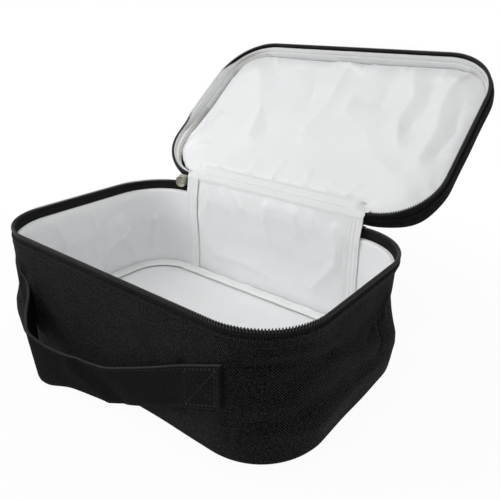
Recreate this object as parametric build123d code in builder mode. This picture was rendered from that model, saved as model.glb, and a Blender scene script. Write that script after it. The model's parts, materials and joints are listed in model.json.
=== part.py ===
from build123d import *
import os
from math import cos, radians, sin, tan

# A soft insulated carrier bag with a zipped lid, shown with the lid laid back.
# Millimetres and degrees. The origin is the middle of the base on the table, +Z up,
# X along the hinge, +Y towards the hinge at the back, the handle on the front at -Y.

# ---- Body ----
body_length = 280.0
body_width = 178.0
corner_radius = 48.0
zip_height = 97.0
rim_depth = 11.0
base_turn_up = 9.0
base_inset_ends = 4.0
base_inset_sides = 5.0
belly_ends = 3.0
belly_sides = 2.0
waist_ends = 6.0
shoulder_ends = 4.0
skirt_height = 5.0
belly_height = 26.0
flank_height = 44.0
waist_depth = 37.0
shoulder_depth = 15.0

# ---- Layers ----
cloth = 1.0
foam = 4.0
liner = 0.6
board = 2.0
base_foam_thickness = 4.0
facing_height = 2.0
binding_thickness = 0.8
binding_width = 9.0
floor_binding_width = 8.0
floor_binding_height = 1.4

# ---- Zip ----
tape_thickness = 0.8
tape_reveal = 6.5
coil_width = 2.2
coil_height = 1.9
half_gap = 0.15
stop_length = 2.7
end_tab_depth = 1.6
end_tab_width = 3.7
loose = 0.3

# ---- Lid ----
lid_depth = 21.0
lid_open_angle = 142.0
lid_edge_radius = 5.0
lid_cap_depth = 7.0
lid_foam_panel_thickness = 4.5
lid_foam_band_thickness = 3.0
lid_foam_edge = 9.0
liner_puff = 4.0
liner_puff_edge = 26.0

# ---- Hinge ----
hinge_rise = 6.0
hinge_setback = 0.3
hinge_binding_height = 9.0

# ---- Slider ----
slider_length = 12.0
slider_height = 10.6
slider_plate = 1.0
slider_corner = 3.0
slider_inner_gap = 1.9
slider_outer_gap = 1.5
slider_angle = 10.5
flange_height = 0.9
flange_reach_inner = 0.75
flange_reach_outer = 0.7
post_length = 2.4
post_height = 2.3
bridge_length = 8.4
bridge_width = 1.8
bridge_thickness = 0.8
bridge_room = 1.3
pull_thickness = 0.8
pull_length = 19.0
pull_width = 8.0
pull_grip = 12.0
pull_eye_radius = 3.6
pull_eye_hole = 2.2
pull_neck = 3.4
pull_window_width = 3.4
pull_window_length = 6.0

# ---- Handle ----
strap_width = 30.0
strap_thickness = 2.4
strap_gap = 0.1
strap_end_margin = 36.0
strap_box_length = 30.0
strap_box_height = 46.0
strap_box_angle = 24.0
strap_split = 0.3
left_lift = 6.0
loop_right_run = 34.0
loop_left_run = 22.0
loop_reach = 22.2
loop_low = 19.0
stitch_inset = 2.0
stitch_width = 0.8
stitch_proud = 0.4

# ---- Worked out from the sizes above ----
half_length = body_length / 2
half_width = body_width / 2
corner_x = half_length - corner_radius
corner_y = half_width - corner_radius
floor_height = cloth + board + base_foam_thickness
liner_outside = cloth + foam
liner_inside = liner_outside + liner
tape_inside = cloth + tape_thickness
tape_middle = cloth + tape_thickness / 2
coil_outside = tape_middle - coil_width / 2
coil_inside = tape_middle + coil_width / 2
coil_low = zip_height - half_gap - coil_height
cloth_top = zip_height - tape_reveal
foam_height = zip_height - rim_depth
hinge_y = half_width + hinge_setback
hinge_height = zip_height + hinge_rise
hinge_half = corner_x
panel_half = hinge_half - end_tab_width - loose
wide = 2 * body_length

# Where the wall's slope changes: the height, then how far the two ends and the two long
# sides stand out of the zip line's outline.
stations = [
    (0.0, -base_inset_ends, -base_inset_sides),
    (skirt_height, 0.0, 0.0),
    (belly_height, belly_ends, belly_sides),
    (flank_height, (belly_ends - waist_ends) / 2, belly_sides / 2),
    (zip_height - waist_depth, -waist_ends, 0.0),
    (zip_height - shoulder_depth, -shoulder_ends, 0.0),
    (cloth_top, 0.0, 0.0),
    (zip_height, 0.0, 0.0),
]


def bulge_at(height):
    """How far the ends and the sides stand out of the zip line's outline at a height."""
    for (low, low_ends, low_sides), (high, high_ends, high_sides) in zip(stations[:-1], stations[1:]):
        if low <= height <= high:
            share = (height - low) / (high - low)
            return low_ends + (high_ends - low_ends) * share, low_sides + (high_sides - low_sides) * share
    return 0.0, 0.0


def body_outline(height, inset):
    """The body's plan at a height, moved in from its outer face."""
    ends, sides = bulge_at(height)
    length = body_length + 2 * (ends - inset)
    width = body_width + 2 * (sides - inset)
    with BuildSketch(Plane.XY.offset(height)) as outline:
        RectangleRounded(length, width, corner_radius + (ends + sides) / 2 - inset)
    return outline.sketch


def body_form(inset, low, high):
    """The body's filled shape between two heights, moved in from its outer face."""
    levels = [low] + [height for height, ends, sides in stations if low < height < high] + [high]
    with BuildPart() as form:
        for start, end in zip(levels[:-1], levels[1:]):
            loft(sections=[body_outline(start, inset), body_outline(end, inset)], ruled=True)
    return form.part


def body_band(outside, inside, low, high):
    """A band round the body between two insets and two heights."""
    with BuildPart() as band:
        add(body_form(outside, low, high))
        add(body_form(inside, low, high), mode=Mode.SUBTRACT)
    return band.part


def block(low_x, high_x, low_y, high_y, low_z, high_z):
    """A plain block between two corners, used to cut or keep part of a band."""
    with BuildPart() as cutter:
        with Locations(((low_x + high_x) / 2, (low_y + high_y) / 2, (low_z + high_z) / 2)):
            Box(high_x - low_x, high_y - low_y, high_z - low_z)
    return cutter.part


def back_block(half_span, low, high):
    """A block that takes in the back wall's middle stretch."""
    return block(-half_span, half_span, 0.0, body_width, low, high)


# The lid's own frame: closed, it stands like the body's, with heights above the zip line.
# It is turned back about the hinge.
lid_frame = Plane(origin=(0, hinge_y, hinge_height)).rotated((-lid_open_angle, 0, 0))
lid_axis = Axis(lid_frame.origin, lid_frame.z_dir)


def lid_plane(height):
    """The plane across the lid at a height above the zip line, centred on the lid."""
    origin = lid_frame.from_local_coords(Vector(0, -hinge_y, height - hinge_rise))
    return Plane(origin=origin, x_dir=lid_frame.x_dir, z_dir=lid_frame.z_dir)


def lid_outline(height, inset):
    """The lid's plan at a height above the zip line, moved in from its outer face."""
    with BuildSketch(lid_plane(height)) as outline:
        RectangleRounded(body_length - 2 * inset, body_width - 2 * inset, corner_radius - inset)
    return outline.sketch


def lid_form(inset, low, high):
    """The lid's filled shape between two heights above the zip line."""
    with BuildPart() as form:
        extrude(lid_outline(low, inset), amount=high - low)
    return form.part


def lid_band(outside, inside, low, high):
    """A band round the lid between two insets and two heights."""
    with BuildPart() as band:
        add(lid_form(outside, low, high))
        add(lid_form(inside, low, high), mode=Mode.SUBTRACT)
    return band.part


def lid_block(low_x, high_x, low_y, high_y, low, high):
    """A block in the lid's own frame."""
    with BuildPart() as cutter:
        with BuildSketch(lid_plane(low)):
            with Locations(((low_x + high_x) / 2, (low_y + high_y) / 2)):
                Rectangle(high_x - low_x, high_y - low_y)
        extrude(amount=high - low)
    return cutter.part


# The lid keeps clear of the body's hinge stretch, and of the slider's run round its corner.
hinge_relief_top = hinge_rise + 0.5
relief_half = hinge_half + loose
hinge_relief = lid_block(-relief_half, relief_half, 0.0, body_width, -1.0, hinge_relief_top)
slider_relief = lid_block(-wide, -hinge_half, corner_y - slider_length, body_width, -1.0, hinge_rise)

os.makedirs("parts", exist_ok=True)


def write(name, solid):
    """Label a finished piece and write it under its name."""
    solid.label = name
    export_step(solid, f"parts/{name}.step")


# ---- Body: cloth, board, foam and liner ----
with BuildPart() as outer_wall:
    add(body_band(0.0, cloth, base_turn_up, cloth_top))
write("outer_wall", outer_wall.part)

with BuildPart() as base_panel:
    add(body_form(0.0, 0.0, base_turn_up))
    add(body_form(cloth, cloth, base_turn_up), mode=Mode.SUBTRACT)
write("base_panel", base_panel.part)

with BuildPart() as base_board:
    add(body_form(cloth, cloth, cloth + board))
write("base_board", base_board.part)

with BuildPart() as base_foam:
    add(body_form(cloth, cloth + board, floor_height))
write("base_foam", base_foam.part)



def foam_piece(low_x, high_x, low_y, high_y):
    """One stretch of the foam in the walls: a flat panel or a corner."""
    with BuildPart() as piece:
        add(body_band(cloth, liner_outside, floor_height, foam_height))
        add(block(low_x, high_x, low_y, high_y, 0.0, zip_height), mode=Mode.INTERSECT)
    return piece.part


# The foam meets itself where the corners' curves begin: low and high x, low and high y.
foam_pieces = {
    "foam_front": (-corner_x, corner_x, -wide, -corner_y),
    "foam_back": (-corner_x, corner_x, corner_y, wide),
    "foam_left": (-wide, -corner_x, -corner_y, corner_y),
    "foam_right": (corner_x, wide, -corner_y, corner_y),
    "foam_front_left": (-wide, -corner_x, -wide, -corner_y),
    "foam_front_right": (corner_x, wide, -wide, -corner_y),
    "foam_back_left": (-wide, -corner_x, corner_y, wide),
    "foam_back_right": (corner_x, wide, corner_y, wide),
}
for foam_name, limits in foam_pieces.items():
    with BuildPart() as foam_solid:
        add(foam_piece(*limits))
    write(foam_name, foam_solid.part)

with BuildPart() as floor_liner:
    add(body_form(liner_outside, floor_height, floor_height + liner))
write("floor_liner", floor_liner.part)

with BuildPart() as wall_liner:
    add(body_band(liner_outside, liner_inside, floor_height + liner, foam_height))
    add(back_block(panel_half, 0.0, zip_height), mode=Mode.SUBTRACT)
write("wall_liner", wall_liner.part)

# The back liner goes up the wall, over the foam and up the hinge panel.
with BuildPart() as back_liner:
    add(body_band(liner_outside, liner_inside, floor_height + liner, foam_height))
    add(back_block(panel_half, 0.0, zip_height), mode=Mode.INTERSECT)
    ledge_front = half_width - liner_inside
    flap_back = half_width - cloth
    add(block(-panel_half, panel_half, ledge_front, flap_back, foam_height, foam_height + liner))
    flap_front = flap_back - liner
    flap_top = hinge_height - loose
    add(block(-panel_half, panel_half, flap_front, flap_back, foam_height + liner, flap_top))
write("back_liner", back_liner.part)

with BuildPart() as floor_binding:
    binding_top = floor_height + liner + floor_binding_height
    add(body_band(liner_inside, liner_inside + floor_binding_width, floor_height + liner, binding_top))
write("floor_binding", floor_binding.part)


def back_binding(side):
    """The upright tape over one seam of the back liner, with its end on the hinge panel."""
    near_x = panel_half - binding_width / 2
    far_x = panel_half + binding_width / 2
    low_x, high_x = sorted((side * near_x, side * far_x))
    top_low, top_high = sorted((side * near_x, side * panel_half))
    ledge_top = foam_height + liner
    over = ledge_top + binding_thickness
    front = ledge_front - binding_thickness
    with BuildPart() as binding:
        add(body_band(liner_inside, liner_inside + binding_thickness, binding_top, foam_height))
        add(block(low_x, high_x, 0.0, body_width, 0.0, zip_height), mode=Mode.INTERSECT)
        add(block(top_low, top_high, front, ledge_front, foam_height, over))
        add(block(top_low, top_high, ledge_front, flap_front, ledge_top, over))
        add(block(top_low, top_high, flap_front - binding_thickness, flap_front, over, flap_top))
    return binding.part


with BuildPart() as back_binding_left:
    add(back_binding(-1))
write("back_binding_left", back_binding_left.part)

with BuildPart() as back_binding_right:
    add(back_binding(1))
write("back_binding_right", back_binding_right.part)

with BuildPart() as rim_facing:
    add(body_band(tape_inside, liner_inside, foam_height, foam_height + facing_height))
    add(back_block(panel_half, 0.0, hinge_height), mode=Mode.SUBTRACT)
write("rim_facing", rim_facing.part)

# ---- Hinge ----
with BuildPart() as hinge_panel:
    add(block(-hinge_half, hinge_half, flap_back, half_width, cloth_top, flap_top))
write("hinge_panel", hinge_panel.part)

with BuildPart() as hinge_binding:
    tape_half = panel_half - binding_width / 2
    tape_front = flap_front - binding_thickness
    add(block(-tape_half, tape_half, tape_front, flap_front, flap_top - hinge_binding_height, flap_top))
write("hinge_binding", hinge_binding.part)

# ---- Zip on the body ----
with BuildPart() as zip_tape_body:
    add(body_band(cloth, tape_inside, foam_height, coil_low))
    add(back_block(hinge_half, 0.0, hinge_height), mode=Mode.SUBTRACT)
write("zip_tape_body", zip_tape_body.part)

coil_start = hinge_half + stop_length + loose
with BuildPart() as zip_coil_body:
    add(body_band(coil_outside, coil_inside, coil_low, zip_height - half_gap))
    add(back_block(coil_start, 0.0, hinge_height), mode=Mode.SUBTRACT)
write("zip_coil_body", zip_coil_body.part)

with BuildPart() as zip_stops:
    add(body_band(coil_outside, coil_inside, coil_low, zip_height - half_gap))
    add(back_block(coil_start - loose, 0.0, hinge_height), mode=Mode.INTERSECT)
    add(back_block(hinge_half, 0.0, hinge_height), mode=Mode.SUBTRACT)
write("zip_stops", zip_stops.part)

with BuildPart() as zip_end_tabs:
    for side in (-1, 1):
        low_x, high_x = sorted((side * (hinge_half - end_tab_width), side * hinge_half))
        tab_low = foam_height + facing_height
        tab_top = zip_height - half_gap
        add(block(low_x, high_x, flap_back - end_tab_depth, flap_back, tab_low, tab_top))
write("zip_end_tabs", zip_end_tabs.part)

# ---- Lid ----
cap_low = lid_depth - lid_cap_depth
with BuildPart() as lid_outer_panel:
    add(lid_form(0.0, cap_low, lid_depth))
    fillet(lid_outer_panel.edges().group_by(lid_axis)[-1], radius=lid_edge_radius)
    with BuildPart(mode=Mode.PRIVATE) as cap_inside:
        add(lid_form(cloth, cap_low, lid_depth - cloth))
        fillet(cap_inside.edges().group_by(lid_axis)[-1], radius=lid_edge_radius - cloth)
    add(cap_inside.part, mode=Mode.SUBTRACT)
write("lid_outer_panel", lid_outer_panel.part)

with BuildPart() as lid_gusset:
    add(lid_band(0.0, cloth, hinge_relief_top, cap_low))
write("lid_gusset", lid_gusset.part)

panel_low = lid_depth - cloth - lid_foam_panel_thickness
with BuildPart() as lid_foam_panel:
    add(lid_form(cloth, panel_low, lid_depth - cloth))
    fillet(lid_foam_panel.edges().group_by(lid_axis)[-1], radius=lid_edge_radius - cloth)
write("lid_foam_panel", lid_foam_panel.part)

band_inside = cloth + lid_foam_band_thickness
with BuildPart() as lid_foam_band:
    add(lid_band(cloth, band_inside, lid_foam_edge, panel_low))
write("lid_foam_band", lid_foam_band.part)

with BuildPart() as lid_liner_band:
    add(lid_band(band_inside, band_inside + liner, lid_foam_edge, panel_low))
write("lid_liner_band", lid_liner_band.part)

puff_outside = band_inside + liner
with BuildPart() as lid_liner_panel:
    puff_middle = lid_outline(panel_low - liner_puff, puff_outside + liner_puff_edge)
    puff_foot = lid_outline(panel_low - liner, puff_outside)
    loft(sections=[puff_middle, puff_foot], ruled=True)
    add(lid_form(puff_outside, panel_low - liner, panel_low))
write("lid_liner_panel", lid_liner_panel.part)

with BuildPart() as lid_binding:
    binding_low = half_gap + coil_height + loose
    add(lid_band(tape_inside, tape_inside + binding_thickness, binding_low, lid_foam_edge))
    add(lid_band(tape_inside, puff_outside, lid_foam_edge - binding_thickness, lid_foam_edge))
    add(hinge_relief, mode=Mode.SUBTRACT)
    add(slider_relief, mode=Mode.SUBTRACT)
write("lid_binding", lid_binding.part)

# ---- Zip on the lid ----
with BuildPart() as zip_tape_lid:
    add(lid_band(cloth, tape_inside, half_gap + coil_height, lid_foam_edge))
    add(hinge_relief, mode=Mode.SUBTRACT)
    add(slider_relief, mode=Mode.SUBTRACT)
write("zip_tape_lid", zip_tape_lid.part)

with BuildPart() as zip_coil_lid:
    add(lid_band(coil_outside, coil_inside, half_gap, half_gap + coil_height))
    add(hinge_relief, mode=Mode.SUBTRACT)
    add(slider_relief, mode=Mode.SUBTRACT)
write("zip_coil_lid", zip_coil_lid.part)

# ---- Slider, at the left end of the zip, where the corner's curve begins ----
# Its frame: x away from the hinge along the zip, y up, z out of the wall.
run_radius = corner_radius - tape_middle
turn = radians(slider_angle)
slider_origin = (-corner_x - run_radius * sin(turn), corner_y + run_radius * cos(turn), zip_height)
slider_along = (-cos(turn), -sin(turn), 0)
slider_out = (-sin(turn), cos(turn), 0)
slider_frame = Plane(origin=slider_origin, x_dir=slider_along, z_dir=slider_out)
outer_face = slider_outer_gap + slider_plate
inner_face = -slider_inner_gap - slider_plate

with BuildPart() as slider_body:
    for plate_base in (slider_outer_gap, inner_face):
        with BuildSketch(slider_frame.offset(plate_base)):
            RectangleRounded(slider_length, slider_height, slider_corner)
        extrude(amount=slider_plate)
    flange_length = slider_length - 2 * slider_corner
    flange_y = (slider_height - flange_height) / 2
    outer_flange_base = slider_outer_gap - flange_reach_outer
    flanges = ((outer_flange_base, flange_reach_outer), (-slider_inner_gap, flange_reach_inner))
    for base, reach in flanges:
        with BuildSketch(slider_frame.offset(base)):
            with Locations((0, flange_y), (0, -flange_y)):
                Rectangle(flange_length, flange_height)
        extrude(amount=reach)
    with BuildSketch(slider_frame.offset(-slider_inner_gap)):
        with Locations(((slider_length - post_length) / 2, loose + post_height / 2)):
            Rectangle(post_length, post_height)
    extrude(amount=slider_inner_gap + slider_outer_gap)
    with BuildSketch(slider_frame.offset(outer_face)):
        leg_x = (bridge_length - bridge_thickness) / 2
        with Locations((leg_x, 0), (-leg_x, 0)):
            Rectangle(bridge_thickness, bridge_width)
    extrude(amount=bridge_room)
    with BuildSketch(slider_frame.offset(outer_face + bridge_room)):
        Rectangle(bridge_length, bridge_width)
    extrude(amount=bridge_thickness)
write("slider_body", slider_body.part)

# The pull's eye is threaded on the bridge's leg farther from the hinge, and it hangs straight down.
pull_x = leg_x
pull_base = outer_face + (bridge_room - pull_thickness) / 2
with BuildPart() as pull_tab:
    with BuildSketch(slider_frame.offset(pull_base)):
        with Locations((pull_x, 0)):
            Circle(pull_eye_radius)
        neck_length = pull_length - pull_grip / 2
        with Locations((pull_x, -neck_length / 2)):
            Rectangle(pull_neck, neck_length)
        with Locations((pull_x, pull_grip / 2 - pull_length)):
            RectangleRounded(pull_width, pull_grip, pull_width / 3)
            window = (pull_window_width, pull_window_length, pull_window_width / 3)
            RectangleRounded(*window, mode=Mode.SUBTRACT)
        with Locations((pull_x, 0)):
            Circle(pull_eye_hole, mode=Mode.SUBTRACT)
    extrude(amount=pull_thickness)
write("pull_tab", pull_tab.part)

# ---- Handle: one strap on edge, sewn to the front at both ends, hanging low in the middle ----
strap_face = -half_width - belly_sides - strap_gap
strap_middle = strap_face - strap_thickness / 2
rise = tan(radians(strap_box_angle))
outer_end = half_length - strap_end_margin
inner_end = outer_end - strap_box_length
outer_height = strap_box_height + strap_box_length * rise
left_end = -inner_end - left_lift
loop_right = inner_end - loop_right_run
loop_left = -inner_end + loop_left_run


def strap_point(start, end, across, out, up):
    """A middle point of the strap between two ends, by shares of its reach and of its drop."""
    height = loop_low + up * (strap_box_height - loop_low)
    return start + across * (end - start), out * loop_reach, height


# Middle points of the strap's section from the right end to the left: across, how far it
# stands out of its sewn ends, and up.
right_end_run = [
    (outer_end, 0.0, outer_height),
    (inner_end, 0.0, strap_box_height),
    strap_point(loop_right, loop_left, 0.0, 0.17, 0.44),
]
loop_start = loop_right - strap_split
loop_end = loop_left + strap_split
loop_run = [
    strap_point(loop_start, loop_end, 0.0, 0.17, 0.44),
    strap_point(loop_start, loop_end, 0.35, 0.37, 0.0),
    strap_point(loop_start, loop_end, 0.7, 0.68, 0.09),
    strap_point(loop_start, loop_end, 0.92, 0.95, 0.24),
    strap_point(loop_start, loop_end, 1.0, 1.0, 0.33),
]
left_end_run = [
    strap_point(loop_left, left_end, 0.0, 1.0, 0.33),
    strap_point(loop_left, left_end, 0.43, 0.71, 0.63),
    strap_point(loop_left, left_end, 0.79, 0.28, 0.87),
    (left_end, 0.0, strap_box_height + left_lift * rise),
    (-outer_end, 0.0, outer_height),
]


def strap_run(points):
    """A length of the strap through upright sections at its middle points."""
    sections = []
    for x, out, z in points:
        with BuildSketch(Plane.YZ.offset(x)) as section:
            with Locations((strap_middle - out, z)):
                Rectangle(strap_thickness, strap_width)
        sections.append(section.sketch)
    with BuildPart() as run:
        for start, end in zip(sections[:-1], sections[1:]):
            loft(sections=[start, end], ruled=True)
    return run.part


with BuildPart() as handle_end_right:
    add(strap_run(right_end_run))
write("handle_end_right", handle_end_right.part)

with BuildPart() as handle_end_left:
    add(strap_run(left_end_run))
write("handle_end_left", handle_end_left.part)

with BuildPart() as handle_strap:
    add(strap_run(loop_run))
write("handle_strap", handle_strap.part)

# A sewn box with its two diagonals on each end of the strap: six ribs of thread to a box.
stitch_face = -strap_face + strap_thickness


def thread_rib(start, end):
    """A straight row of thread between two points on the strap's outer face."""
    with BuildPart() as rib:
        with BuildSketch(Plane.XZ.offset(stitch_face)):
            with BuildLine():
                Line(start, end)
            trace(line_width=stitch_width)
        extrude(amount=stitch_proud)
    return rib.part


def box_stitch(side, near_x):
    """The box and its diagonals on one end of the strap."""
    far_x = outer_end - stitch_inset
    near_z = strap_box_height + (near_x - inner_end) * rise
    far_z = strap_box_height + (far_x - inner_end) * rise
    half = strap_width / 2 - stitch_inset
    low_near = (side * near_x, near_z - half)
    low_far = (side * far_x, far_z - half)
    high_far = (side * far_x, far_z + half)
    high_near = (side * near_x, near_z + half)
    with BuildPart() as box:
        for start, end in (
            (low_near, low_far),
            (low_far, high_far),
            (high_far, high_near),
            (high_near, low_near),
            (low_near, high_far),
            (high_near, low_far),
        ):
            add(thread_rib(start, end))
    return box.part


with BuildPart() as handle_stitching:
    add(box_stitch(1, inner_end + stitch_inset))
    add(box_stitch(-1, stitch_inset - left_end))
write("handle_stitching", handle_stitching.part)
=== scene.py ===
"""A soft insulated carrier bag with a zipped lid laid back, dressed piece by piece around its solid frame."""
import json
import math

import bpy
import numpy as np
from mathutils import Matrix, Vector


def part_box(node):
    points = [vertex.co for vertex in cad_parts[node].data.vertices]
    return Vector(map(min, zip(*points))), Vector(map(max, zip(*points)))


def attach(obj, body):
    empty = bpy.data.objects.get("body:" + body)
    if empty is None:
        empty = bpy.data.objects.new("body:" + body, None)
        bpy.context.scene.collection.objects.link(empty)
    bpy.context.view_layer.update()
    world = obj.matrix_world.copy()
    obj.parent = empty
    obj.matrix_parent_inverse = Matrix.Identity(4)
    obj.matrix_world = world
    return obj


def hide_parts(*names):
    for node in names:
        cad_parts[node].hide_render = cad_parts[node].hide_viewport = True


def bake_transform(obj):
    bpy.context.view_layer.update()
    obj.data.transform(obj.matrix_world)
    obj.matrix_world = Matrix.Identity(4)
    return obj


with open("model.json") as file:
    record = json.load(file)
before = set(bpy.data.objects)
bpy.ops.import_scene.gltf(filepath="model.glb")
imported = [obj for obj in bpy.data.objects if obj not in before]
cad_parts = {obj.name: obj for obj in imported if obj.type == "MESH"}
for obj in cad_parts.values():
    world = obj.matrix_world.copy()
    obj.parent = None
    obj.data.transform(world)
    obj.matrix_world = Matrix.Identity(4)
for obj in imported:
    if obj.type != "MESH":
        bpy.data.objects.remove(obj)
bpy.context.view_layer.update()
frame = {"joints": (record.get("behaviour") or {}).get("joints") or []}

bl_info = {
    "name": "Soft carrier bag",
    "version": (1, 0, 0),
    "blender": (4, 5, 0),
    "location": "3D View > Sidebar > Carrier bag",
    "description": "Dresses the carrier bag's frame in cloth, lining, zip and stitching",
    "category": "Object",
}

# ---------------------------------------------------------------- sizes read off the frame
MM = 0.001
PER_UV = 100.0


def span(node, axis):
    """A node's low and high corner along one axis, in millimetres."""
    low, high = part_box(node)
    return low[axis] / MM, high[axis] / MM


def joint(name):
    """One joint of the frame, by its name."""
    return next(item for item in frame["joints"] if item["name"] == name)


HALF_LENGTH = span("zip_tape_body", 0)[1] + 1.0
HALF_WIDTH = -span("zip_tape_body", 1)[0] + 1.0
ZIP_LINE = span("zip_coil_body", 2)[1] + 0.15
CLOTH_TOP = span("outer_wall", 2)[1]
FLOOR_TOP = span("floor_liner", 2)[1]
HINGE_HALF = span("hinge_panel", 0)[1]
HINGE_TOP = span("hinge_panel", 2)[1]
BACK_SEAM = (span("back_binding_right", 0)[0] + span("back_binding_right", 0)[1]) / 2
CORNER = HALF_LENGTH - HINGE_HALF
SIDE_HALF = HALF_WIDTH - CORNER
HINGE = [part / MM for part in joint("lid_hinge")["pos_m"]]
LID_TURN = math.radians(joint("lid_hinge")["range_deg"][1])
ARC = math.pi / 2 * CORNER
AROUND = 4 * (HINGE_HALF + SIDE_HALF + ARC)
END_START = HINGE_HALF + ARC
END_STOP = END_START + 2 * SIDE_HALF
BACK_START = END_STOP + ARC
FLOOR_SIZE = (2 * HALF_LENGTH, 2 * HALF_WIDTH)
# How far in from the wall's line the zip's tape and the lining lie.
ZIP_TAPE_IN, LINING_IN = 0.95, 5.6
# Above this height the back panel leaves the wall and runs on to the lid.
WALL_TOP = 84.0
# The upright tapes on the back panel: their width, and how far out their outer edges lie, left and right.
TAPE_WIDTH, TAPE_EDGES = 13.0, {-1: 91.5, 1: 93.5}
# The pull's leg stands this far along the zip from the slider's middle.
PULL_LEG = 3.8
# A point inside the bag, for telling its sheets' inner sides from their outer ones.
BAG_MIDDLE = (0, 0, 45)
# How thick the sheets are: the lid's cloth, the zip's tape, the binding and the lining.
LID_CLOTH_THICK, ZIP_TAPE_THICK, BINDING_THICK, LINING_THICK = 0.9, 0.8, 0.7, 0.5


# ---------------------------------------------------------------- the bag's own shapes
def plan(along, out=0.0):
    """Points and outward directions on the zip line's outline, at a distance from the front's middle."""
    along = np.asarray(along, float)
    side = np.where(along < 0, -1.0, 1.0)
    run = np.abs(along)
    front_turn = np.clip((run - HINGE_HALF) / CORNER, 0, math.pi / 2)
    back_turn = np.clip((run - END_STOP) / CORNER, 0, math.pi / 2)
    turn = front_turn + back_turn
    out_x, out_y = np.sin(turn), -np.cos(turn)
    front = np.minimum(run, HINGE_HALF)
    end = np.clip(run - END_START, 0, 2 * SIDE_HALF)
    back = np.maximum(run - BACK_START, 0)
    x = np.where(run <= BACK_START, front, HINGE_HALF - back) + CORNER * out_x
    y = -SIDE_HALF + end + CORNER * out_y
    return side * (x + out * out_x), y + out * out_y, side * out_x, out_y


# How far the wall stands out of the zip line's outline at each height: at the two ends, and at front and
# back.
WALL_LEVELS = (0.0, 5.0, 26.0, 44.0, 60.0, 82.0, 90.5, 97.0)
WALL_ENDS = (-4.0, 0.0, 3.0, -1.5, -6.0, -4.0, 0.0, 0.0)
WALL_SIDES = (-5.0, 0.0, 2.0, 1.0, 0.0, 0.0, 0.0, 0.0)


def eased(value, levels, values, step):
    """Reads a table of values by its levels, with its corners eased over two steps to each side."""
    return sum(np.interp(value + near * step, levels, values) for near in (-2, -1, 0, 1, 2)) / 5


def rounded_run(levels, values):
    """Reads a bent section by its share of the way along, with its corners eased."""
    columns = np.asarray(values, float).T
    return lambda share: np.stack([eased(share, levels, column, 0.01) for column in columns], -1)


def wall_bulge(height, out_x, out_y):
    """How far the wall stands out of the zip line at a height."""
    ends = eased(height, WALL_LEVELS, WALL_ENDS, 1)
    sides = eased(height, WALL_LEVELS, WALL_SIDES, 1)
    return ends * out_x ** 2 + sides * out_y ** 2


def on_wall(along, height, out=0.0):
    """Points on the bag's wall, out of its outer face."""
    x, y, out_x, out_y = plan(along)
    grow = wall_bulge(height, out_x, out_y) + out
    return np.stack([x + grow * out_x, y + grow * out_y, np.broadcast_to(height, x.shape)], -1)


def lid_place(x, y, height):
    """Points of the lid as it lies back, from where they are with the lid shut above the zip line."""
    cos, sin = math.cos(LID_TURN), math.sin(LID_TURN)
    back = y - HINGE[1]
    up = ZIP_LINE + height - HINGE[2]
    y, z = HINGE[1] + back * cos + up * sin, HINGE[2] - back * sin + up * cos
    return np.stack(np.broadcast_arrays(x, y, z), -1)


def ease(value, low, high):
    """A smooth step from 0 at low to 1 at high."""
    share = np.clip((value - low) / (high - low), 0, 1)
    return share * share * (3 - 2 * share)


def swell(value, middle, width):
    """A soft swelling: 1 in its middle, and falling away over its width to both sides."""
    return np.exp(-((value - middle) / width) ** 2)


def corner_push(along, height):
    """How far the lid's corners stand out past the zip line, where the stiff panel pushes the cloth."""
    far = np.where(along > 0, 1.6, 4.6) * swell(np.abs(along), HINGE_HALF + ARC / 2, 20)
    near = 2.4 * swell(along, END_STOP + ARC / 2, 16)
    return (far + near) * ease(height, 2, 12)


def slider_push(along, height):
    """How far the lid's edge flares out where it is drawn up to clear the slider."""
    return 4.6 * swell(along, -END_STOP - 3, 32) * ease(height, 1, 7)


def on_lid(along, height, out=0.0):
    """Points on the lid's side, out of the zip line's outline."""
    x, y, _, _ = plan(along, out + corner_push(along, height) + slider_push(along, height))
    return lid_place(x, y, height)


def polyline_distance(u, v, points):
    """The distance from points (u, v) to a crease drawn through points."""
    best = np.full(np.shape(u), 1e9)
    for (u0, v0), (u1, v1) in zip(points[:-1], points[1:]):
        run_u, run_v = u1 - u0, v1 - v0
        share = np.clip(((u - u0) * run_u + (v - v0) * run_v) / (run_u ** 2 + run_v ** 2), 0, 1)
        best = np.minimum(best, np.hypot(u - u0 - share * run_u, v - v0 - share * run_v))
    return best


def folds(u, v, creases, crisp=0.0):
    """The height of soft folds: each has its line, its width and its height, and crisp ones have a ridge."""
    total = np.zeros(np.shape(u))
    if crisp:
        u, v = u + 9 * crisp * ripple(u, v, 7, 55), v + 9 * crisp * ripple(u, v, 8, 55)
    for points, width, height in creases:
        away = polyline_distance(u, v, points) / width
        ridge = np.exp(-3.2 * (np.sqrt(away ** 2 + 0.01) - 0.1))
        total += height * ((1 - crisp) * np.exp(-away ** 2) + crisp * ridge)
    return total


def soft_floor(value):
    """A value kept above nothing, without an edge where it gets there."""
    return 0.5 * (value + np.sqrt(value ** 2 + 0.12))


def ripple(u, v, seed, scale, count=7):
    """A gentle uneven surface between about -1 and 1, from a few slow waves."""
    waves = np.random.default_rng(seed)
    total = np.zeros(np.shape(u))
    for _ in range(count):
        turn, phase = waves.uniform(0, math.pi), waves.uniform(0, 2 * math.pi)
        pitch = scale * waves.uniform(0.6, 1.6)
        total += np.sin(2 * math.pi * (u * math.cos(turn) + v * math.sin(turn)) / pitch + phase)
    return total / count ** 0.5 / 1.4


# ---------------------------------------------------------------- making meshes
def only(piece):
    """Selects one piece and nothing else."""
    bpy.ops.object.select_all(action="DESELECT")
    piece.select_set(True)
    bpy.context.view_layer.objects.active = piece


def edit(piece, *steps):
    """Runs edit-mode steps on all of a piece."""
    only(piece)
    bpy.ops.object.mode_set(mode="EDIT")
    bpy.ops.mesh.select_all(action="SELECT")
    for step in steps:
        step()
    bpy.ops.object.mode_set(mode="OBJECT")


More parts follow.
